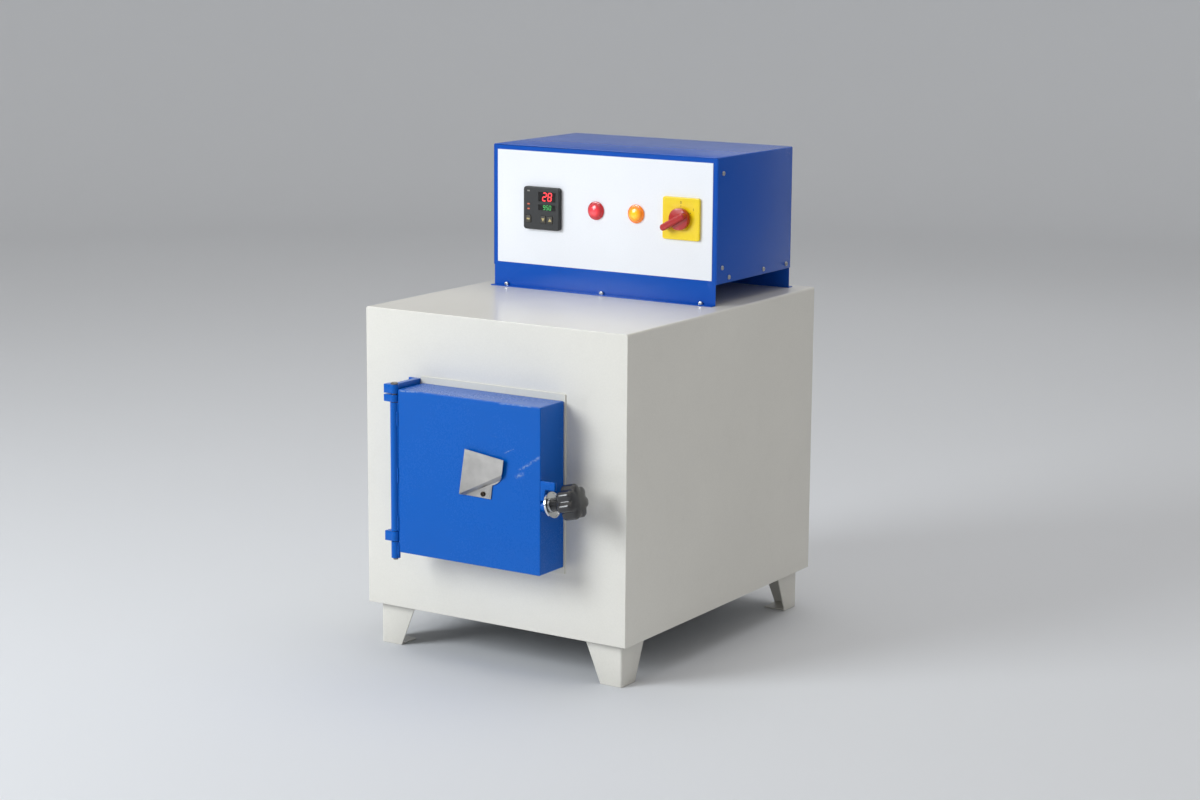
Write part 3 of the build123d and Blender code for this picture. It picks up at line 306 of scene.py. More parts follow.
def door_paint(name, colour, marks, face):
    """Glossy enamel with fine hairline scratches, and paler streaks painted on the front, at y =
    face.
    """
    paint = coat_paint(
        name, colour, roughness=0.24, peel=0.8, dust=0.012, gloss=0.08, ground=160, shine=0.16
    )
    base = Value(paint, paint.shader.inputs["Base Color"].links[0].from_socket)
    x, y, z = paint.xyz()
    streaks_and_scratches = None
    # Paler streaks painted on the front along each listed line
    for (x0, z0), (x1, z1), width in marks:
        length = math.hypot(x1 - x0, z1 - z0)
        cos, sin = (x1 - x0) / length, (z1 - z0) / length
        along = (x - mm(x0)) * cos + (z - mm(z0)) * sin
        across = abs((z - mm(z0)) * cos - (x - mm(x0)) * sin)
        ends = along.ramp(-mm(width), mm(width))
        ends = ends * along.ramp(mm(length + width), mm(length - width))
        mark = across.ramp(mm(width), 0.0) * ends
        streaks_and_scratches = mark if streaks_and_scratches is None else streaks_and_scratches.most(mark)
    ragged = paint.noise(3.2, 5, 0.7).ramp(0.42, 0.6)
    hair = paint.noise(1.1, 2, along=(0.03, 1, 1), turn=(0, 0.5, 0)).ramp(0.69, 0.74)
    hair = hair * paint.noise(60, 2).ramp(0.52, 0.7) * 0.25
    front = y.ramp(mm(face + 1.5), mm(face + 0.5))
    streaks_and_scratches = (streaks_and_scratches * ragged * front * 0.85).most(hair)
    paint.set("Base Color", paint.mix(streaks_and_scratches, base, PALE_DOOR_BLUE))
    return paint


def worked_metal(name, colour, roughness, grain=(1, 1, 1), depth=0.02, stain=0.0):
    """Bare or plated metal with a direction of working and uneven tarnish."""
    metal = Finish(name, metallic=1.0)
    lines = metal.noise(0.9, 3, 0.6, along=grain)
    cloud = metal.noise(24, 3)
    base = metal.tint(cloud.ramp(0.35, 0.7), colour, 0.86, 1.06)
    if stain:
        spots = metal.noise(5, 4, 0.7).ramp(0.58, 0.7) * stain
        base = metal.mix(spots, base, TARNISH)
    metal.set("Base Color", base)
    metal.set("Roughness", roughness + (lines - 0.5) * 0.22 + (cloud - 0.5) * 0.1)
    metal.bump((lines, depth, 0.5))
    return metal


def moulded(name, colour, roughness, grain=0.0, coat=0.0):
    """Moulded plastic: even colour, fine spark texture, slight sheen changes."""
    plastic = Finish(name, coat_weight=coat, coat_roughness=0.08)
    cloud = plastic.noise(9, 2)
    plastic.set("Base Color", plastic.tint(cloud, colour, 0.94, 1.04))
    plastic.set("Roughness", roughness + (cloud - 0.5) * 0.08)
    spark = plastic.noise(0.55, 2)
    plastic.bump((spark, 0.02 + 0.05 * grain, 0.12 + 0.4 * grain))
    return plastic


def lens(name, colour, bright, node):
    """Tinted dome over a lamp, ringed round a node's middle: deep at the rim, bright inside."""
    dome = Finish(
        name, roughness=0.12, coat_weight=0.6, coat_roughness=0.04, emission_strength=0.32
    )
    x, _, z = dome.xyz()
    middle_x, _, middle_z = centre(node)
    radius = ((x - mm(middle_x)) ** 2.0 + (z - mm(middle_z)) ** 2.0) ** 0.5
    rings = (radius * (2 * math.pi / mm(LENS_RING_PITCH))).sine()
    middle = radius.ramp(mm(LENS_RADIUS), mm(LENS_BRIGHT_RADIUS))
    shade = dome.mix(middle, rgba(colour), rgba(bright))
    dome.set("Base Color", shade)
    dome.set("Emission Color", shade)
    dome.bump((rings, 0.08, 0.3))
    return dome


def fibre(name, colour, coarse=1.0, fired=0.0):
    """Refractory board or clay: matt, pitted, with soft fibres and scorched patches."""
    board = Finish(name, roughness=0.92, specular_ior_level=0.2)
    strands = board.noise(1.4 * coarse, 5, 0.7, along=(0.3, 1, 1))
    lumps = board.noise(12 * coarse, 4, 0.6)
    pits = board.cells(4 * coarse).ramp(0.0, 0.22)
    base = board.tint(lumps.ramp(0.3, 0.7), colour, 0.9, 1.05)
    scorch = board.noise(55, 3).ramp(0.5, 0.8) * fired
    base = board.mix(scorch, base, SCORCH)
    base = board.mix((1 - pits) * 0.4, base, rgba(colour, 0.6))
    board.set("Base Color", base)
    board.bump((lumps, 0.8, 0.4), (strands, 0.3, 0.5), (pits, 0.3, 0.4))
    return board


def window_glass(name, colour):
    """Dark smoked window."""
    glass = Finish(name, roughness=0.08, coat_weight=1.0, coat_roughness=0.03)
    haze = glass.noise(14, 3)
    glass.set("Base Color", glass.tint(haze, colour, 0.8, 1.2))
    return glass


def printed(name, colour):
    """Flat printed ink or filled engraving."""
    ink = Finish(name, roughness=0.45)
    wear = ink.noise(1.2, 3).ramp(0.3, 0.7)
    ink.set("Base Color", ink.tint(wear, colour, 0.8, 1.15))
    ink.bump((wear, 0.05, 0.15))
    return ink


def lit(name, colour, strength):
    """Glowing segment or indicator."""
    glow = Finish(name, roughness=0.35, emission_strength=strength)
    uneven = glow.noise(1.5, 1)
    shade = glow.tint(uneven, colour, 0.85, 1.1)
    glow.set("Base Color", shade)
    glow.set("Emission Color", shade)
    return glow


# By maker: each look's colour on screen, or the name of its setting, and what else it takes
LOOKS = {
    coat_paint: {
        "Cabinet paint": ("cabinet", dict(roughness=0.3, dust=0.05, gloss=0.3)),
        "Seat frame paint": ("seat", dict(roughness=0.45, dust=0.1)),
        "Primer": ((120, 122, 122), dict(roughness=0.6, gloss=0.0)),
        "Hinge enamel": (
            "door", dict(roughness=0.26, dust=0.015, gloss=0.08, ground=100, shine=0.16),
        ),
        "Control box enamel": (
            "box", dict(roughness=0.22, peel=0.9, dust=0.015, gloss=0.12, ground=500, shine=0.2),
        ),
        "Fascia print": (
            "fascia", dict(roughness=0.38, peel=0.3, dust=0.0, gloss=0.1, ground=-900),
        ),
    },
    door_paint: {
        "Door enamel": ("door", dict(marks=PALE_STREAKS, face=low("door_shell")[1])),
    },
    worked_metal: {
        "Hinge pin steel": ((122, 118, 112), dict(roughness=0.4, stain=0.4)),
        "Satin sheet": (
            (190, 187, 183), dict(roughness=0.36, grain=(0.05, 1, 1), depth=0.03, stain=0.12),
        ),
        "Blackened screw": ((70, 60, 52), dict(roughness=0.42)),
        "Brass insert": ((196, 160, 92), dict(roughness=0.35)),
        "Bright plate": ((222, 224, 226), dict(roughness=0.16)),
        "Zinc plate": ((196, 197, 196), dict(roughness=0.3)),
        "Laminated core": ((84, 86, 92), dict(roughness=0.5, grain=(1, 0.02, 0.02), depth=0.2)),
        "Oxidised strip": ((86, 78, 72), dict(roughness=0.6, stain=0.5)),
        "Plain steel": ((140, 140, 138), dict(roughness=0.4, stain=0.2)),
    },
    moulded: {
        "Knob plastic": ((38, 38, 40), dict(roughness=0.24, grain=0.1, coat=0.5)),
        "Grey plastic": ((118, 121, 124), dict(roughness=0.5, grain=0.4)),
        "Terminal plastic": ((226, 224, 214), dict(roughness=0.5, grain=0.2)),
        "Controller case": ((34, 35, 36), dict(roughness=0.42, grain=0.8)),
        "Key faces": ((196, 176, 118), dict(roughness=0.5, grain=0.5)),
        "Key bases": ((64, 60, 50), dict(roughness=0.5, grain=0.5)),
        "Gland plastic": ((58, 60, 62), dict(roughness=0.45, grain=0.5)),
        "Switch plate plastic": ("plate", dict(roughness=0.3, coat=0.3)),
        "Switch handle plastic": ("handle", dict(roughness=0.26, coat=0.4)),
    },
    fibre: {
        "Fibre board": ((236, 231, 218), {}),
        "Fired tube": ((226, 214, 190), dict(coarse=0.5)),
        "Mouth brick": ((226, 214, 188), dict(coarse=1.6, fired=0.35)),
        "Fired clay": ((204, 186, 158), dict(coarse=0.9, fired=0.6)),
    },
    window_glass: {
        "Smoked window": ((20, 18, 18), {}),
    },
    lit: {
        "Red digits": ((255, 58, 66), dict(strength=1.6)),
        "Green digits": ((70, 170, 90), dict(strength=0.9)),
        "Indicators": ((190, 90, 60), dict(strength=0.5)),
    },
    printed: {
        "Legend print": ((150, 148, 140), {}),
        "Switch print": ((96, 72, 10), {}),
    },
    lens: {
        "Red lens": ((176, 12, 26), dict(bright=linear(250, 70, 80), node="lamp_red_lens")),
        "Amber lens": ((232, 120, 4), dict(bright=linear(255, 196, 30), node="lamp_amber_lens")),
    },
}
MADE = {}


def finish(look):
    """The material of that name in LOOKS, made the first time it is asked for."""
    if look not in MADE:
        make = next(maker for maker, looks in LOOKS.items() if look in looks)
        colour, settings = LOOKS[make][look]
        if isinstance(colour, str):
            colour = getattr(bpy.context.scene.furnace_paint, colour)
        else:
            colour = linear(*colour)
        MADE[look] = make(look, colour, **settings).material
    return MADE[look]


def paint_nodes(look, *names):
    """Gives CAD nodes a finish."""
    for name in names:
        mesh = frame["nodes"][name].data
        mesh.materials.clear()
        mesh.materials.append(finish(look))


# Meshes


def linked(name, data):
    """A new object in the scene."""
    made = bpy.data.objects.new(name, data)
    bpy.context.scene.collection.objects.link(made)
    return made


def piece(name, mesh, look, body, smooth=None, replaces=()):
    """Links a finished mesh, shades it, and lets it ride on a body."""
    mesh.materials.clear()
    mesh.materials.append(finish(look))
    made = linked(name.replace(" ", "_"), mesh)
    if smooth is not None:
        mesh.polygons.foreach_set("use_smooth", [True] * len(mesh.polygons))
        mesh.set_sharp_from_angle(angle=math.radians(smooth))
    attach(made, body)
    if replaces:
        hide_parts(*replaces)


def placed(mesh, origin, axis, spin=0.0):
    """Turns a mesh's +Z to an axis and moves it to an origin given in metres."""
    turn = Vector(axis).to_track_quat("Z", "Y").to_matrix().to_4x4()
    mesh.transform(Matrix.Translation(Vector(origin)) @ turn @ Matrix.Rotation(spin, 4, "Z"))
    return mesh


def closed(name, shape):
    """A mesh from a bmesh, its faces turned outwards."""
    bmesh.ops.recalc_face_normals(shape, faces=shape.faces)
    mesh = bpy.data.meshes.new(name)
    shape.to_mesh(mesh)
    shape.free()
    return mesh


def turned(name, profile, segments=48, wave=None):
    """A closed solid of revolution about +Z from (radius, height) points in millimetres.

    wave(angle, index) scales the radius, for lobes and ribs.
    """
    shape = bmesh.new()
    rings = []
    for index, (radius, height) in enumerate(profile):
        if radius == 0:
            rings.append([shape.verts.new((0, 0, mm(height)))])
            continue
        ring = []
        for step in range(segments):
            angle = 2 * math.pi * step / segments
            reach = mm(radius) * (wave(angle, index) if wave else 1)
            point = (reach * math.cos(angle), reach * math.sin(angle), mm(height))
            ring.append(shape.verts.new(point))
        rings.append(ring)
    for lower, upper in zip(rings, rings[1:]):
        for step in range(segments):
            after = (step + 1) % segments
            corners = [lower[step % len(lower)], lower[after % len(lower)]]
            corners += [upper[after % len(upper)], upper[step % len(upper)]]
            unique = list(dict.fromkeys(corners))
            if len(unique) > 2:
                shape.faces.new(unique)
    return closed(name, shape)


def extruded(shape, outline, depth):
    """Adds a flat outline of (x, z) millimetres at y = 0, drawn out towards -Y by depth."""
    face = shape.faces.new([shape.verts.new((mm(x), 0, mm(z))) for x, z in outline])
    grown = bmesh.ops.extrude_face_region(shape, geom=[face])["geom"]
    moved = [part for part in grown if isinstance(part, bmesh.types.BMVert)]
    bmesh.ops.translate(shape, vec=(0, -mm(depth), 0), verts=moved)


def prism(name, outline, place, depth, bevel=0.0):
    """An outline at a place, drawn out by depth, its front edges bevelled; in millimetres."""
    x, back, z = place
    shape = bmesh.new()
    extruded(shape, [(x + across, z + up) for across, up in outline], depth)
    bmesh.ops.recalc_face_normals(shape, faces=shape.faces)
    if bevel:
        rim = [e for e in shape.edges if all(v.co.y < -mm(depth) / 2 for v in e.verts)]
        bmesh.ops.bevel(shape, geom=rim, offset=mm(bevel), segments=2, affect="EDGES", profile=0.6)
    mesh = closed(name, shape)
    mesh.transform(Matrix.Translation((0, mm(back), 0)))
    return mesh


def softened(name, node, width, look, segments=2):
    """Stands in for a CAD node with the same shape, its sharp edges rounded by width in metres."""
    mesh = frame["nodes"][node].data.copy()
    shape = welded(mesh)
    bmesh.ops.dissolve_limit(
        shape, angle_limit=math.radians(1), verts=shape.verts, edges=shape.edges,
        delimit={"NORMAL"},
    )
    shape.to_mesh(mesh)
    shape.free()
    for attribute in ("custom_normal", "sharp_face", "sharp_edge"):
        found = mesh.attributes.get(attribute)
        if found:
            mesh.attributes.remove(found)
    source = linked(name + ".source", mesh)
    rounding = source.modifiers.new("Rounded edges", "BEVEL")
    rounding.width = width
    rounding.segments = segments
    rounding.limit_method = "ANGLE"
    rounding.angle_limit = math.radians(35)
    body = frame["nodes"][node]["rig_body"]
    piece(name, evaluated(source), look, body, smooth=40, replaces=(node,))


def evaluated(source):
    """The plain mesh that an object's modifiers give; the object itself goes."""
    graph = bpy.context.evaluated_depsgraph_get()
    graph.update()
    mesh = bpy.data.meshes.new_from_object(source.evaluated_get(graph), depsgraph=graph)
    bpy.data.objects.remove(source)
    return mesh


# Geometry Nodes: pieces that repeat


class Shaper(Graph):
    """A Geometry Nodes tree with named inputs for its sizes, in metres."""

    SEED = 7

    def __init__(self, name, **inputs):
        super().__init__(bpy.data.node_groups.new(name, "GeometryNodeTree"))
        face = self.tree.interface
        face.new_socket("Geometry", in_out="INPUT", socket_type="NodeSocketGeometry")
        for key, default in inputs.items():
            label = key.replace("_", " ").capitalize()
            made = face.new_socket(label, in_out="INPUT", socket_type="NodeSocketFloat")
            made.default_value = default
        face.new_socket("Material", in_out="INPUT", socket_type="NodeSocketMaterial")
        face.new_socket("Geometry", in_out="OUTPUT", socket_type="NodeSocketGeometry")
        start = self.node("NodeGroupInput")
        given = [Value(self, socket) for socket in start.outputs if socket.name]
        self.points, *self.sizes, self.material = given

    def repeat(self, unit, spun=True):
        """One unit on every point, turned to the point's facing and spun at random, as one mesh."""
        facing = self.value(
            "GeometryNodeInputNamedAttribute", {"data_type": "FLOAT_VECTOR"}, {"Name": "facing"}
        )
        turn = self.value("FunctionNodeAlignRotationToVector", {"axis": "Z"}, {"Vector": facing})
        if spun:
            limits = {2: 0.0, 3: 2 * math.pi, "Seed": self.SEED}
            spin = self.value("FunctionNodeRandomValue", {"data_type": "FLOAT"}, limits, output=1)
            inputs = {"Axis": (0, 0, 1), "Angle": spin}
            about = self.value("FunctionNodeAxisAngleToRotation", inputs=inputs)
            inputs = {0: turn, 1: about}
            turn = self.value("FunctionNodeRotateRotation", {"rotation_space": "LOCAL"}, inputs)
        inputs = {"Points": self.points, "Instance": unit, "Rotation": turn}
        copies = self.value("GeometryNodeInstanceOnPoints", inputs=inputs)
        solid = self.value("GeometryNodeRealizeInstances", inputs={"Geometry": copies})
        inputs = {"Geometry": solid, "Material": self.material}
        dressed = self.value("GeometryNodeSetMaterial", inputs=inputs)
        self.node("NodeGroupOutput", inputs={0: dressed})

    def raised(self, geometry, height):
        up = self.value("ShaderNodeCombineXYZ", inputs={2: height})
        inputs = {"Geometry": geometry, "Translation": up}
        return self.value("GeometryNodeTransform", inputs=inputs)

    def cylinder(self, sides, radius, depth, foot):
        """An upright cylinder that stands at the height foot."""
        inputs = {"Vertices": sides, "Radius": radius, "Depth": depth}
        made = self.value("GeometryNodeMeshCylinder", inputs=inputs)
        return self.raised(made, depth * 0.5 + foot)

    def cone(self, sides, bottom, top, depth, foot):
        """An upright blunt cone that stands at the height foot."""
        inputs = {
            "Vertices": sides, "Radius Bottom": bottom, "Radius Top": top, "Depth": depth,
        }
        return self.raised(self.value("GeometryNodeMeshCone", inputs=inputs), foot)

    def block(self, wide, deep, tall):
        size = self.value("ShaderNodeCombineXYZ", inputs={0: wide, 1: deep, 2: tall})
        return self.value("GeometryNodeMeshCube", inputs={"Size": size})

    def joined(self, *parts):
        join = self.node("GeometryNodeJoinGeometry")
        for part in reversed(parts):
            self.give(join.inputs[0], part)
        return Value(self, join.outputs[0])


def shaped(name, tree, spots, look, body, slot, smooth=35, replaces=(), **sizes):
    """Runs a tree on (point in millimetres, facing) spots and keeps the result as a plain mesh."""
    points, facings = zip(*spots)
    mesh = bpy.data.meshes.new(name + ".points")
    mesh.from_pydata([[mm(part) for part in point] for point in points], [], [])
    held = mesh.attributes.new("facing", "FLOAT_VECTOR", "POINT")
    held.data.foreach_set("vector", [part for facing in facings for part in facing])
    source = linked(name + ".source", mesh)
    run = source.modifiers.new(tree.tree.name, "NODES")
    run.node_group = tree.tree
    given = {"material": finish(look), **sizes}
    for item in tree.tree.interface.items_tree:
        key = item.name.lower().replace(" ", "_")
        if item.in_out == "INPUT" and key in given:
            run[item.identifier] = given[key]
    piece(name, evaluated(source), look, body, smooth, replaces)


def pan_head_tree():
    """Pan-headed screw with a cross recess: a low drum, a domed top and two crossed cuts."""
    tree = Shaper("Pan head screws", head_radius=mm(3.8), head_height=mm(2.4), cross_width=mm(0.9))
    radius, height, cross = tree.sizes
    sides = 24
    parts = [tree.cylinder(sides, radius, height * 0.5, 0.0)]
    foot, wide = 0.5, 1.0
    for top, narrow in ((0.78, 0.93), (0.93, 0.78), (1.0, 0.5)):
        rise = height * (top - foot)
        parts.append(tree.cone(sides, radius * wide, radius * narrow, rise, height * foot))
        foot, wide = top, narrow
    head = tree.joined(*parts)
    inputs = {"Geometry": head, "Distance": TOUCHING}
    merged = tree.value("GeometryNodeMergeByDistance", inputs=inputs)
    cut = tree.node("GeometryNodeMeshBoolean", {"operation": "DIFFERENCE"}, {0: merged})
    reach = radius * 1.15
    for wide, deep in ((reach, cross), (cross, reach)):
        bar = tree.raised(tree.block(wide, deep, height * 0.9), height * 1.05)
        tree.give(cut.inputs[1], bar)
    tree.repeat(Value(tree, cut.outputs[0]))
    return tree


def hex_bolt_tree():
    """Hexagon bolt head with a chamfered top, on a round washer."""
    tree = Shaper("Hexagon bolts", head_radius=mm(6), head_height=mm(4), washer=mm(1.0))
    radius, height, sheet = tree.sizes
    corner, shoulder = radius * 0.98, height * 0.72
    ring = tree.cylinder(28, radius * 1.12, sheet, 0.0)
    hexagon = tree.cylinder(6, corner, shoulder - sheet, sheet)
    crown = tree.cone(6, corner, radius * 0.8, height * 0.24, shoulder)
    tree.repeat(tree.joined(ring, hexagon, crown))
    return tree


def weld_tree():
    """A row of overlapping weld ripples along a line of points."""
    tree = Shaper("Weld ripples", bead=mm(2.0))
    inputs = {"Radius": tree.sizes[0], "Subdivisions": 2}
    tree.repeat(tree.value("GeometryNodeMeshIcoSphere", inputs=inputs))
    return tree


def rib_tree():
    """Grip ribs standing out round a ring."""
    tree = Shaper("Grip ribs", rib_width=mm(1.1), rib_length=mm(8))
    width, length = tree.sizes
    tree.repeat(tree.block(width, length, width * 0.9), spun=False)
    return tree


# Settings that a user would change


def colour_setting(name, description, default):
    return bpy.props.FloatVectorProperty(
        name=name, description=description, default=default, subtype="COLOR", size=3, min=0, max=1
    )


def size_setting(name, description, default):
    """A length whose default is given in millimetres."""
    return bpy.props.FloatProperty(
        name=name, description=description, default=mm(default), min=mm(0.1), unit="LENGTH"
    )


def power_setting(name, description, default):
    return bpy.props.FloatProperty(
        name=name, description=description, default=default, unit="POWER"
    )


class FurnacePaint(bpy.types.PropertyGroup):
    """Colours of the furnace's painted and moulded pieces"""

    cabinet: colour_setting("Cabinet", "Off-white paint of cabinet and feet", linear(230, 227, 218))
    seat: colour_setting("Seat frame", "Cream paint round the mouth", linear(226, 223, 210))
    door: colour_setting("Door", "Blue enamel of the door and hinge", linear(0, 94, 190))
    box: colour_setting("Control box", "Blue enamel of the control box", linear(4, 82, 184))
    fascia: colour_setting("Fascia", "White instrument plate", linear(243, 245, 250))
    plate: colour_setting("Switch plate", "Yellow plate of the main switch", linear(255, 220, 4))
    handle: colour_setting("Switch handle", "Red handle of the main switch", linear(186, 26, 26))


class FurnaceTrim(bpy.types.PropertyGroup):
    """Sizes of the furnace's small fittings"""

    screw_radius: size_setting("Screw head", "Radius of a pan head", 3.8)
    bolt_radius: size_setting("Bolt head", "Radius across a hexagon head's corners", 5.4)
    edge: size_setting("Folded edge", "Radius of a folded sheet's edge", 0.9)
    bead: size_setting("Weld bead", "Radius of one weld ripple", 1.6)
    lobes: bpy.props.IntProperty(
        name="Knob lobes", description="Lobes round the clamp knob", default=7, min=3
    )


class FurnaceStudio(bpy.types.PropertyGroup):
    """Floor and lights"""

    floor: colour_setting("Floor", "Pale floor and backdrop", linear(226, 228, 231))
    key: power_setting("Key light", "Power from the front left", 128)
    fill: power_setting("Fill light", "Power from the right and from behind", 4)
    top: power_setting("Top light", "Power from above", 22)
    sky: bpy.props.FloatProperty(
        name="Surround", description="Strength of the even surround", default=0.46
    )


# Operators, one for each piece or group of pieces


class FURNACE_OT_cabinet(bpy.types.Operator):
    """Paint the cabinet, its feet and the seat frame, with folded edges on the feet"""

    bl_idname = "furnace.cabinet"
    bl_label = "Cabinet"

    def execute(self, context):
        edge = context.scene.furnace_trim.edge
        paint_nodes("Cabinet paint", "cabinet_wrapper", "front_panel", "back_panel")
        paint_nodes("Seat frame paint", "seat_frame")
        paint_nodes("Primer", "bottom_panel")
        for corner in ("front_left", "front_right", "back_left", "back_right"):
            softened("Foot." + corner, "foot_" + corner, edge, "Cabinet paint")
        return {"FINISHED"}


class FURNACE_OT_door(bpy.types.Operator):
    """Paint the door and its hinge, with short weld runs where the barrels meet the door"""

    bl_idname = "furnace.door"
    bl_label = "Door and hinge"

    WELD_RUNS = ((222, 244), (300, 322), (392, 414), (180, 196))  # lowest and highest z
    WELD_PITCH = 0.95  # of a ripple's radius
    WELD_OUT = 0.7  # beyond the door's edge
    WELD_FORWARD = 2.4  # of the barrel's middle

    def execute(self, context):
        paint_nodes("Door enamel", "door_shell")
        paint_nodes("Hinge enamel", "barrel_long", "barrel_short", "clamp_boss")
        softened("Pull tab", "pull_tab", mm(0.7), "Hinge enamel")
        softened("Hinge brackets", "hinge_brackets", mm(0.8), "Hinge enamel")
        paint_nodes("Hinge pin steel", "hinge_pin")
        paint_nodes("Fibre board", "door_lining")
        paint_nodes("Fired tube", "peephole_tube")
        bead = context.scene.furnace_trim.bead
        x = low("door_shell")[0] - self.WELD_OUT
        y = centre("barrel_long")[1] - self.WELD_FORWARD
        spots = []
        for z, end in self.WELD_RUNS:
            while z <= end:
                spots.append(((x, y, z), FORWARDS))
                z += bead * 1000 * self.WELD_PITCH
        shaped(
            "Hinge welds", weld_tree(), spots, "Hinge enamel", "door", "door_blue",
            smooth=60, bead=bead,
        )
        return {"FINISHED"}


class FURNACE_OT_sight_cover(bpy.types.Operator):
    """Satin sheet cover over the sight hole and its screw"""

    bl_idname = "furnace.sight_cover"
    bl_label = "Sight cover"

    def execute(self, context):
        softened(
            "Sight cover", "peephole_cover", mm(0.25), "Satin sheet", segments=1
        )
        x, _, z = centre("cover_screw")
        height = 2.5
        foot = low("cover_screw")[1] + height
        shaped(
            "Sight cover screw", pan_head_tree(), [((x, foot, z), FORWARDS)], "Blackened screw",
            "door", "plated_steel", replaces=("cover_screw",),
            head_radius=mm(4), head_height=mm(height),
        )
        return {"FINISHED"}


class FURNACE_OT_clamp(bpy.types.Operator):
    """Lobed knob, cup washer, stud and keeper"""

    bl_idname = "furnace.clamp"
    bl_label = "Door clamp"

    # Radius, height and share of the lobes' full depth, from the knob's back to its front
    KNOB = (
        (8.2, 0, 0), (10.6, 0, 0), (11, 0.6, 0), (11, 18, 0), (12.2, 20.5, 0.1), (17, 21.8, 0.35),
        (24, 22.4, 0.8), (26.6, 23.6, 1), (27.9, 26, 1), (28, 30, 1), (28, 43, 1), (27.6, 46, 1),
        (25.8, 48.2, 0.95), (22, 49.6, 0.75), (15, 50.5, 0.35), (7, 50.9, 0.1), (0, 51, 0),
    )
    BORE = ((8.2, 0), (8.2, 2.0), (0, 2.0))  # radius and height
    LOBE_DEPTH = 0.185  # of the radius
    LOBE_SHARPNESS = 1.6
    LOBE_SEGMENTS = 16

    def execute(self, context):
        lobes = context.scene.furnace_trim.lobes

        def wave(angle, index):
            dip = (0.5 - 0.5 * math.cos(lobes * angle)) ** self.LOBE_SHARPNESS
            return 1 - self.LOBE_DEPTH * self.KNOB[index][2] * dip

        profile = [(radius, height) for radius, height, _ in self.KNOB]
        knob = turned("Clamp knob", profile, segments=self.LOBE_SEGMENTS * lobes, wave=wave)
        shape = bmesh.new()
        shape.from_mesh(knob)
        shape.from_mesh(turned("Clamp knob bore", self.BORE, segments=32))
        shape.to_mesh(knob)
        shape.free()
        joint = next(joint for joint in frame["joints"] if joint["name"] == "clamp_travel")
        axis, start = Vector(joint["axis"]).normalized(), Vector(joint["pos_m"])
        back = min((vert.co - start).dot(axis) for vert in frame["nodes"]["knob"].data.vertices)
        placed(knob, start + axis * back, axis, spin=math.pi / 2)
        piece(
            "Clamp knob", knob, "Knob plastic", "clamp_knob", 38, replaces=("knob",)
        )
        paint_nodes("Brass insert", "knob_insert")
        paint_nodes("Bright plate", "cup_washer")
        paint_nodes("Zinc plate", "clamp_stud")
        softened("Keeper", "keeper", mm(0.5), "Cabinet paint")
        return {"FINISHED"}


class FURNACE_OT_control_box(bpy.types.Operator):
    """Paint the control box and finish what stands inside it"""

    bl_idname = "furnace.control_box"
    bl_label = "Control box"

    def execute(self, context):
        softened("Control box cover", "box_cover", mm(0.5), "Control box enamel")
        softened("Control box chassis", "box_chassis", mm(0.4), "Control box enamel")
        paint_nodes("Fascia print", "fascia")
        paint_nodes("Grey plastic", "lamp_bodies", "switch_box", "contactor")
        paint_nodes("Terminal plastic", "terminal_strip")
        paint_nodes("Laminated core", "control_transformer")
        return {"FINISHED"}


class FURNACE_OT_screws(bpy.types.Operator):
    """Pan heads on the panels and hexagon bolts under the feet's flanges"""

    bl_idname = "furnace.screws"
    bl_label = "Screws"

    # Node, name and the axis that its screws face along
    PAN_HEADS = (
        ("back_panel_screws", "Back panel screws", 1),
        ("cover_screws", "Cover screws", 0),
        ("skirt_screws", "Skirt screws", 1),
    )

    def execute(self, context):
        trim = context.scene.furnace_trim
        pan = pan_head_tree()
        middle = centre("box_cover")
        for node, name, axis in self.PAN_HEADS:
            spots = []
            for lows, highs in islands(node):
                point = [(a + b) / 2 for a, b in zip(lows, highs)]
                positive = point[axis] > middle[axis]
                point[axis] = (lows if positive else highs)[axis]
                facing = [0, 0, 0]
                facing[axis] = 1 if positive else -1
                spots.append((point, facing))
            shaped(
                name, pan, spots, "Zinc plate", BODY, "plated_steel", replaces=(node,),
                head_radius=trim.screw_radius,
            )
        spots = []
        for lows, highs in islands("foot_screws"):
            point = ((lows[0] + highs[0]) / 2, (lows[1] + highs[1]) / 2, highs[2])
            spots.append((point, (0, 0, -1)))
        shaped(
            "Foot bolts", hex_bolt_tree(), spots, "Zinc plate", BODY, "plated_steel",
            replaces=("foot_screws",), head_radius=trim.bolt_radius,
        )
        return {"FINISHED"}


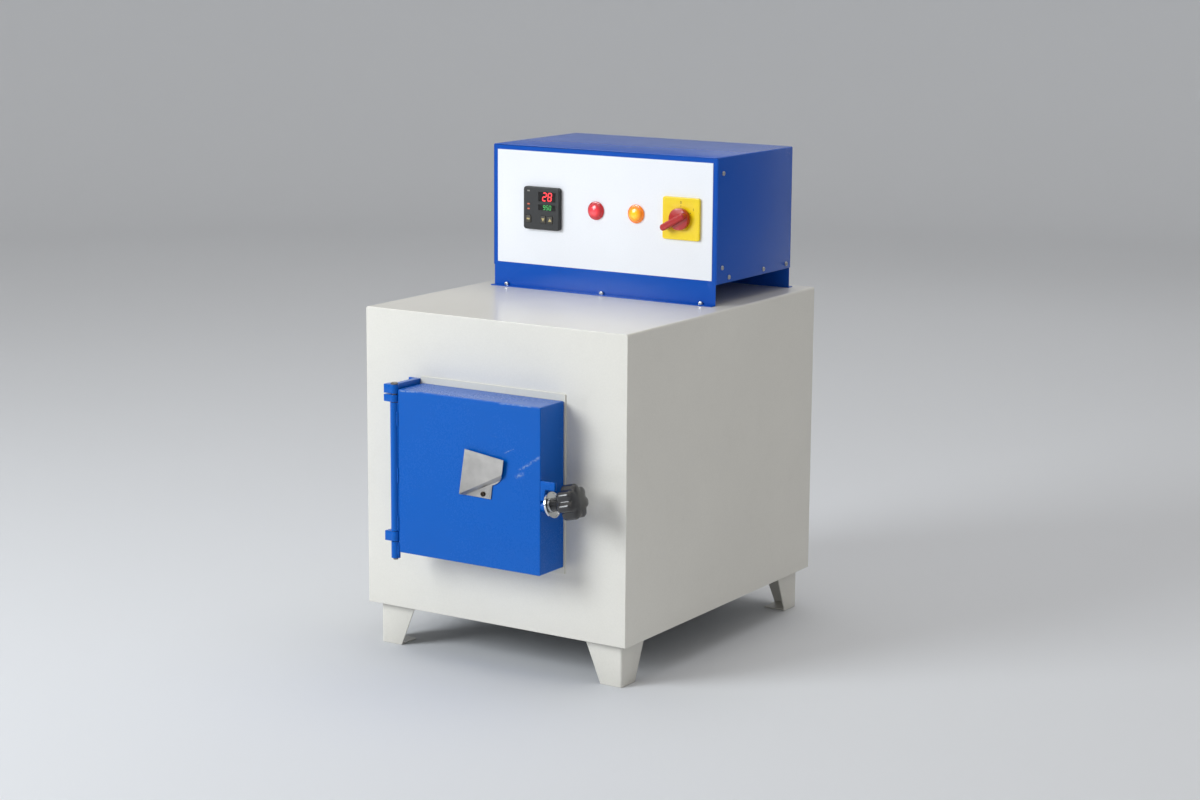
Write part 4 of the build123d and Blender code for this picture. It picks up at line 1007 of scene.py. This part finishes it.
class FURNACE_OT_controller(bpy.types.Operator):
    """Temperature controller: case, smoked windows, lit digits, indicators and keys"""

    bl_idname = "furnace.controller"
    bl_label = "Controller"

    # Name, digits, their height and finish, from the top window down
    READINGS = (
        ("Process digits", "28", 13.0, "Red digits"),
        ("Setpoint digits", "950", 7.2, "Green digits"),
    )
    SEGMENTS = {
        "0": "abcdef", "1": "bc", "2": "abged", "3": "abgcd", "4": "fgbc",
        "5": "afgcd", "6": "afgedc", "7": "abc", "8": "abcdefg", "9": "abcdfg",
    }
    # Both ends of each segment, in digit widths across and half heights up
    ENDS = {
        "a": ((0, 2), (1, 2)), "b": ((1, 2), (1, 1)), "c": ((1, 1), (1, 0)), "d": ((0, 0), (1, 0)),
        "e": ((0, 1), (0, 0)), "f": ((0, 2), (0, 1)), "g": ((0, 1), (1, 1)),
    }
    WIDTH, BAR = 0.52, 0.13  # of a digit's height
    GAP = 0.18  # of a bar
    PITCH = 1.55  # of a digit's width
    SLANT = 0.1
    DIGIT_DEPTH, DIGIT_SINK = 0.15, 0.05
    MARK_SINK = 0.02  # how far flat marks reach into the face behind them
    # Each key's raised symbol as x and z: a bar, an arrow down and an arrow up
    SYMBOLS = (
        ((-3, -1.2), (3, -1.2), (3, 1.2), (-3, 1.2)),
        ((0, -3.2), (3.2, 2.4), (-3.2, 2.4)),
        ((-3.2, -2.4), (3.2, -2.4), (0, 3.2)),
    )
    SYMBOL_DEPTH = 0.12
    # Distance below the case's top edge and finish of each small mark by the windows
    INDICATORS = ((7, "Legend print"), (29.5, "Indicators"), (37.5, "Indicators"))
    INDICATOR = ((-2.3, -1.1), (2.3, -1.1), (2.3, 1.1), (-2.3, 1.1))
    INDICATOR_DEPTH, INDICATOR_BEVEL = 0.3, 0.1

    def execute(self, context):
        paint_nodes("Controller case", "controller_case")
        paint_nodes("Smoked window", "controller_displays")
        windows = sorted(islands("controller_displays"), key=lambda box: -box[1][2])
        for (lows, highs), (name, text, tall, look) in zip(windows, self.READINGS):
            mesh = self.digits(name, text, tall, lows, highs)
            piece(name, mesh, look, BODY)
        for number, symbol in enumerate(self.SYMBOLS, 1):
            node = f"key_{number}"
            softened(f"Key.{number}", node, mm(0.3), "Key bases")
            x, _, z = centre(node)
            name, place = f"Key symbol.{number}", (x, low(node)[1] + self.MARK_SINK, z)
            mesh = prism(name, symbol, place, self.SYMBOL_DEPTH)
            piece(name, mesh, "Key faces", f"button_{number}")
        x, top = centre("key_1")[0], high("controller_case")[2]
        back = low("controller_case")[1] + self.MARK_SINK
        for step, (drop, look) in enumerate(self.INDICATORS):
            name, place = f"Indicator.{step}", (x, back, top - drop)
            mesh = prism(name, self.INDICATOR, place, self.INDICATOR_DEPTH, self.INDICATOR_BEVEL)
            piece(name, mesh, look, BODY, 30)
        return {"FINISHED"}

    def digits(self, name, text, tall, lows, highs):
        """Slanted seven-bar digits in the middle of a window."""
        half, wide, bar = tall / 2, tall * self.WIDTH, tall * self.BAR
        gap = bar * self.GAP
        pitch = wide * self.PITCH
        middle_x, middle_z = (lows[0] + highs[0]) / 2, (lows[2] + highs[2]) / 2
        first = middle_x - pitch * (len(text) - 1) / 2
        shape = bmesh.new()
        for order, digit in enumerate(text):
            for key in self.SEGMENTS[digit]:
                start, stop = (
                    Vector(((across - 0.5) * wide, (up - 1) * half))
                    for across, up in self.ENDS[key]
                )
                along = (stop - start).normalized()
                side = Vector((-along.y, along.x)) * bar / 2
                start, stop = start + along * gap, stop - along * gap
                tip = along * bar / 2
                corners = (
                    start, start + tip + side, stop - tip + side,
                    stop, stop - tip - side, start + tip - side,
                )
                left = first + order * pitch
                outline = [
                    (left + point.x + point.y * self.SLANT, middle_z + point.y)
                    for point in corners
                ]
                extruded(shape, outline, self.DIGIT_DEPTH)
        mesh = closed(name, shape)
        mesh.transform(Matrix.Translation((0, mm(lows[1] + self.DIGIT_SINK), 0)))
        return mesh


class FURNACE_OT_lamps(bpy.types.Operator):
    """Two pilot lamps with domed, ringed lenses"""

    bl_idname = "furnace.lamps"
    bl_label = "Pilot lamps"

    # Radius and height of the flange's rings, from the back
    FLANGE = ((0, 0), (14.8, 0), (15.4, 0.5), (15.4, 2.2), (14.6, 2.9), (13.2, 3.1), (12.9, 3.6))
    DOME_RADIUS, DOME_FOOT, DOME_RISE = 12.8, 3.7, 5.3
    DOME_STEPS = 8

    def execute(self, context):
        profile = list(self.FLANGE)
        for step in range(1, self.DOME_STEPS):
            cos, sin = cos_sin(90 * step / self.DOME_STEPS)
            profile.append((self.DOME_RADIUS * cos, self.DOME_FOOT + self.DOME_RISE * sin))
        profile.append((0, self.DOME_FOOT + self.DOME_RISE))
        for tint in ("red", "amber"):
            node = f"lamp_{tint}_lens"
            x, _, z = centre(node)
            origin = (mm(x), mm(high(node)[1]), mm(z))
            dome = placed(turned(f"{tint} lens", profile), origin, FORWARDS)
            look = f"{tint.capitalize()} lens"
            piece(f"Lamp lens.{tint}", dome, look, BODY, 40, replaces=(node,))
        return {"FINISHED"}


class FURNACE_OT_switch(bpy.types.Operator):
    """Main switch: yellow plate, engraved marks and red handle"""

    bl_idname = "furnace.switch"
    bl_label = "Main switch"

    NUMBERS = (("0", 90, 26.5), ("1", 34, 28.5))  # text, angle and distance from the middle
    NUMBER_SIZE, NUMBER_DEPTH, NUMBER_LIFT = 6.5, 0.05, 0.04
    TICK_ANGLES = (90, 30)
    TICK = ((19.6, -0.5), (22.0, -0.5), (22.0, 0.5), (19.6, 0.5))  # outwards and sideways
    TICK_DEPTH, TICK_SINK = 0.1, 0.02

    def execute(self, context):
        softened("Switch plate", "switch_face", mm(0.5), "Switch plate plastic")
        softened(
            "Switch handle", "switch_handle", mm(0.9), "Switch handle plastic",
            segments=3,
        )
        x, _, z = centre("switch_face")
        face = low("switch_face")[1]
        for text, angle, away in self.NUMBERS:
            cos, sin = cos_sin(angle)
            self.number(text, x + away * cos, face, z + away * sin)
        for order, angle in enumerate(self.TICK_ANGLES):
            cos, sin = cos_sin(angle)
            outline = [(out * cos - side * sin, out * sin + side * cos) for out, side in self.TICK]
            name, place = f"Switch tick.{order}", (x, face + self.TICK_SINK, z)
            mesh = prism(name, outline, place, self.TICK_DEPTH)
            piece(name, mesh, "Switch print", BODY)
        return {"FINISHED"}

    def number(self, text, x, y, z):
        """A digit that stands upright just proud of the plate."""
        curve = bpy.data.curves.new("Number", "FONT")
        curve.body = text
        curve.size = mm(self.NUMBER_SIZE)
        curve.extrude = mm(self.NUMBER_DEPTH)
        curve.align_x = curve.align_y = "CENTER"
        curve.resolution_u = 4
        mesh = evaluated(linked("Number", curve))
        place = Matrix.Translation((mm(x), mm(y - self.NUMBER_LIFT), mm(z)))
        mesh.transform(place @ Matrix.Rotation(math.pi / 2, 4, "X"))
        piece(f"Switch number.{text}", mesh, "Switch print", BODY)


class FURNACE_OT_gland(bpy.types.Operator):
    """Ribbed cable gland in the control box's rear plate"""

    bl_idname = "furnace.gland"
    bl_label = "Cable gland"

    RIBS = 24
    RING_RADIUS = 10.4
    RIBS_INSET = 8.5  # from the gland's outer end to the ribs' middle

    def execute(self, context):
        paint_nodes("Gland plastic", "mains_gland")
        x, _, z = centre("mains_gland")
        y = high("mains_gland")[1] - self.RIBS_INSET
        spots = []
        for step in range(self.RIBS):
            cos, sin = cos_sin(360 * step / self.RIBS)
            point = (x + self.RING_RADIUS * cos, y, z + self.RING_RADIUS * sin)
            spots.append((point, (cos, 0, sin)))
        shaped("Gland ribs", rib_tree(), spots, "Gland plastic", BODY, "plastic_grey")
        return {"FINISHED"}


class FURNACE_OT_inside(bpy.types.Operator):
    """Lining, muffle, element and thermocouple"""

    bl_idname = "furnace.inside"
    bl_label = "Inside"

    def execute(self, context):
        sides = ("floor", "roof", "left", "right", "rear")
        paint_nodes("Fibre board", *("lining_" + side for side in sides))
        paint_nodes("Mouth brick", "mouth_block")
        paint_nodes("Fired clay", "muffle")
        paint_nodes("Oxidised strip", "heating_element")
        paint_nodes("Fired tube", "thermocouple_sheath", "lead_bushings")
        paint_nodes("Plain steel", "thermocouple_head", "element_leads")
        return {"FINISHED"}


class FURNACE_OT_studio(bpy.types.Operator):
    """Pale floor and backdrop, soft lights, and the camera"""

    bl_idname = "furnace.studio"
    bl_label = "Studio"

    # Floor and wall, in millimetres
    FLOOR_DROP = 0.2
    FLOOR_RADII = (0, 2500, 5500)
    BEND_RADIUS = 1500
    BEND_STEPS = 12
    WALL_TOP = 6000
    AIM = Vector((0, 0, 0.4))
    # Name, place and width in metres, the setting of its power, and colour on screen
    LIGHTS = (
        ("Key light", (-2.1, -3.4, 2.1), 2.2, "key", (246, 251, 255)),
        ("Fill light", (3.4, -0.6, 1.6), 2.4, "fill", (255, 246, 232)),
        ("Top light", (0.2, 0.6, 3.4), 2.6, "top", (250, 252, 255)),
        ("Back light", (-0.8, 3.6, 2.2), 2.2, "fill", (250, 252, 255)),
    )
    SURROUND = (1.0, 0.965, 0.92, 1.0)
    SEEN_SURROUND = 0.9  # strength to the camera and in reflections
    # The photograph's viewpoint, found from the cabinet's edges
    AZIMUTH, ELEVATION, ROLL = 32.35, 10.96, 0.39
    FOCAL = 2552 / 1200  # of the picture's width
    SENSOR = 36  # millimetres
    CAMERA_X, CAMERA_FORWARD, CAMERA_Z = 2.2609, 3.2528, 1.2047  # metres
    FAR = 200

    def execute(self, context):
        studio = context.scene.furnace_studio
        self.sweep(studio)
        self.world(context, studio)
        self.lights(studio)
        self.camera(context)
        context.scene.view_settings.view_transform = "Standard"
        return {"FINISHED"}

    def sweep(self, studio):
        """A flat floor that curves up into a wall all round."""
        flat, bend = self.FLOOR_RADII[-1], self.BEND_RADIUS
        profile = [(radius, -self.FLOOR_DROP) for radius in self.FLOOR_RADII]
        for step in range(1, self.BEND_STEPS + 1):
            cos, sin = cos_sin(90 * step / self.BEND_STEPS)
            profile.append((flat + bend * sin, bend * (1 - cos)))
        profile.append((flat + bend, self.WALL_TOP))
        mesh = turned("Backdrop", profile, segments=96)
        mesh.flip_normals()
        paper = Finish("Backdrop paper", roughness=0.75, specular_ior_level=0.2)
        cloud = paper.noise(900, 2)
        paper.set("Base Color", paper.tint(cloud, studio.floor, 0.99, 1.01))
        mesh.materials.append(paper.material)
        mesh.polygons.foreach_set("use_smooth", [True] * len(mesh.polygons))
        linked("Backdrop", mesh)

    def world(self, context, studio):
        """An even surround that lights less strongly than it shows."""
        world = bpy.data.worlds.new("Surround")
        context.scene.world = world
        world.use_nodes = True
        graph = Graph(world.node_tree)
        graph.tree.nodes.clear()
        ray = graph.node("ShaderNodeLightPath")
        seen = Value(graph, ray.outputs["Is Camera Ray"])
        for kind in ("Glossy", "Transmission"):
            seen = seen.most(Value(graph, ray.outputs[f"Is {kind} Ray"]))
        strength = seen * (self.SEEN_SURROUND - studio.sky) + studio.sky
        inputs = {"Color": self.SURROUND, "Strength": strength}
        background = graph.value("ShaderNodeBackground", inputs=inputs)
        graph.node("ShaderNodeOutputWorld", inputs={0: background})

    def lights(self, studio):
        for name, place, size, power, colour in self.LIGHTS:
            lamp = bpy.data.lights.new(name, "AREA")
            lamp.shape = "DISK"
            lamp.size = size
            lamp.energy = getattr(studio, power)
            lamp.color = linear(*colour)
            holder = linked(name, lamp)
            holder.location = place
            aim = self.AIM - Vector(place)
            holder.rotation_euler = aim.to_track_quat("-Z", "Y").to_euler()

    def camera(self, context):
        turns = map(cos_sin, (self.AZIMUTH, self.ELEVATION, self.ROLL))
        (cos_a, sin_a), (cos_e, sin_e), (cos_r, sin_r) = turns
        back = Vector((sin_a * cos_e, -cos_a * cos_e, sin_e))
        right = (-back).cross(Vector((0, 0, 1))).normalized()
        up = right.cross(-back)
        side = right * cos_r + up * sin_r
        over = up * cos_r - right * sin_r
        data = bpy.data.cameras.new("Camera")
        data.sensor_width = self.SENSOR
        data.lens = self.FOCAL * self.SENSOR
        data.clip_end = self.FAR
        holder = linked("Camera", data)
        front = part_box("front_panel")[0].y
        place = Vector((self.CAMERA_X, front - self.CAMERA_FORWARD, self.CAMERA_Z))
        turn = Matrix((side, over, back)).transposed().to_4x4()
        holder.matrix_world = Matrix.Translation(place) @ turn
        context.scene.camera = holder


class FURNACE_PT_panel(bpy.types.Panel):
    """Lists the furnace's pieces and settings"""

    bl_idname = "FURNACE_PT_panel"
    bl_label = "Muffle furnace"
    bl_space_type = "VIEW_3D"
    bl_region_type = "UI"
    bl_category = "Furnace"

    def draw(self, context):
        layout = self.layout
        for operator in OPERATORS:
            layout.operator(operator.bl_idname)
        for group_name in GROUPS:
            group = getattr(context.scene, group_name)
            box = layout.box()
            for name in group.bl_rna.properties.keys():
                if name not in ("rna_type", "name"):
                    box.prop(group, name)


OPERATORS = (
    FURNACE_OT_cabinet,
    FURNACE_OT_door,
    FURNACE_OT_sight_cover,
    FURNACE_OT_clamp,
    FURNACE_OT_control_box,
    FURNACE_OT_screws,
    FURNACE_OT_controller,
    FURNACE_OT_lamps,
    FURNACE_OT_switch,
    FURNACE_OT_gland,
    FURNACE_OT_inside,
    FURNACE_OT_studio,
)
GROUPS = {
    "furnace_paint": FurnacePaint,
    "furnace_trim": FurnaceTrim,
    "furnace_studio": FurnaceStudio,
}


def register():
    for kind in (*GROUPS.values(), *OPERATORS, FURNACE_PT_panel):
        bpy.utils.register_class(kind)
    for name, kind in GROUPS.items():
        setattr(bpy.types.Scene, name, bpy.props.PointerProperty(type=kind))


def unregister():
    for name in GROUPS:
        delattr(bpy.types.Scene, name)
    for kind in (FURNACE_PT_panel, *reversed(OPERATORS), *GROUPS.values()):
        bpy.utils.unregister_class(kind)


def main():
    register()
    for operator in OPERATORS:
        group, action = operator.bl_idname.split(".")
        getattr(getattr(bpy.ops, group), action)()


if __name__ == "__main__":
    main()
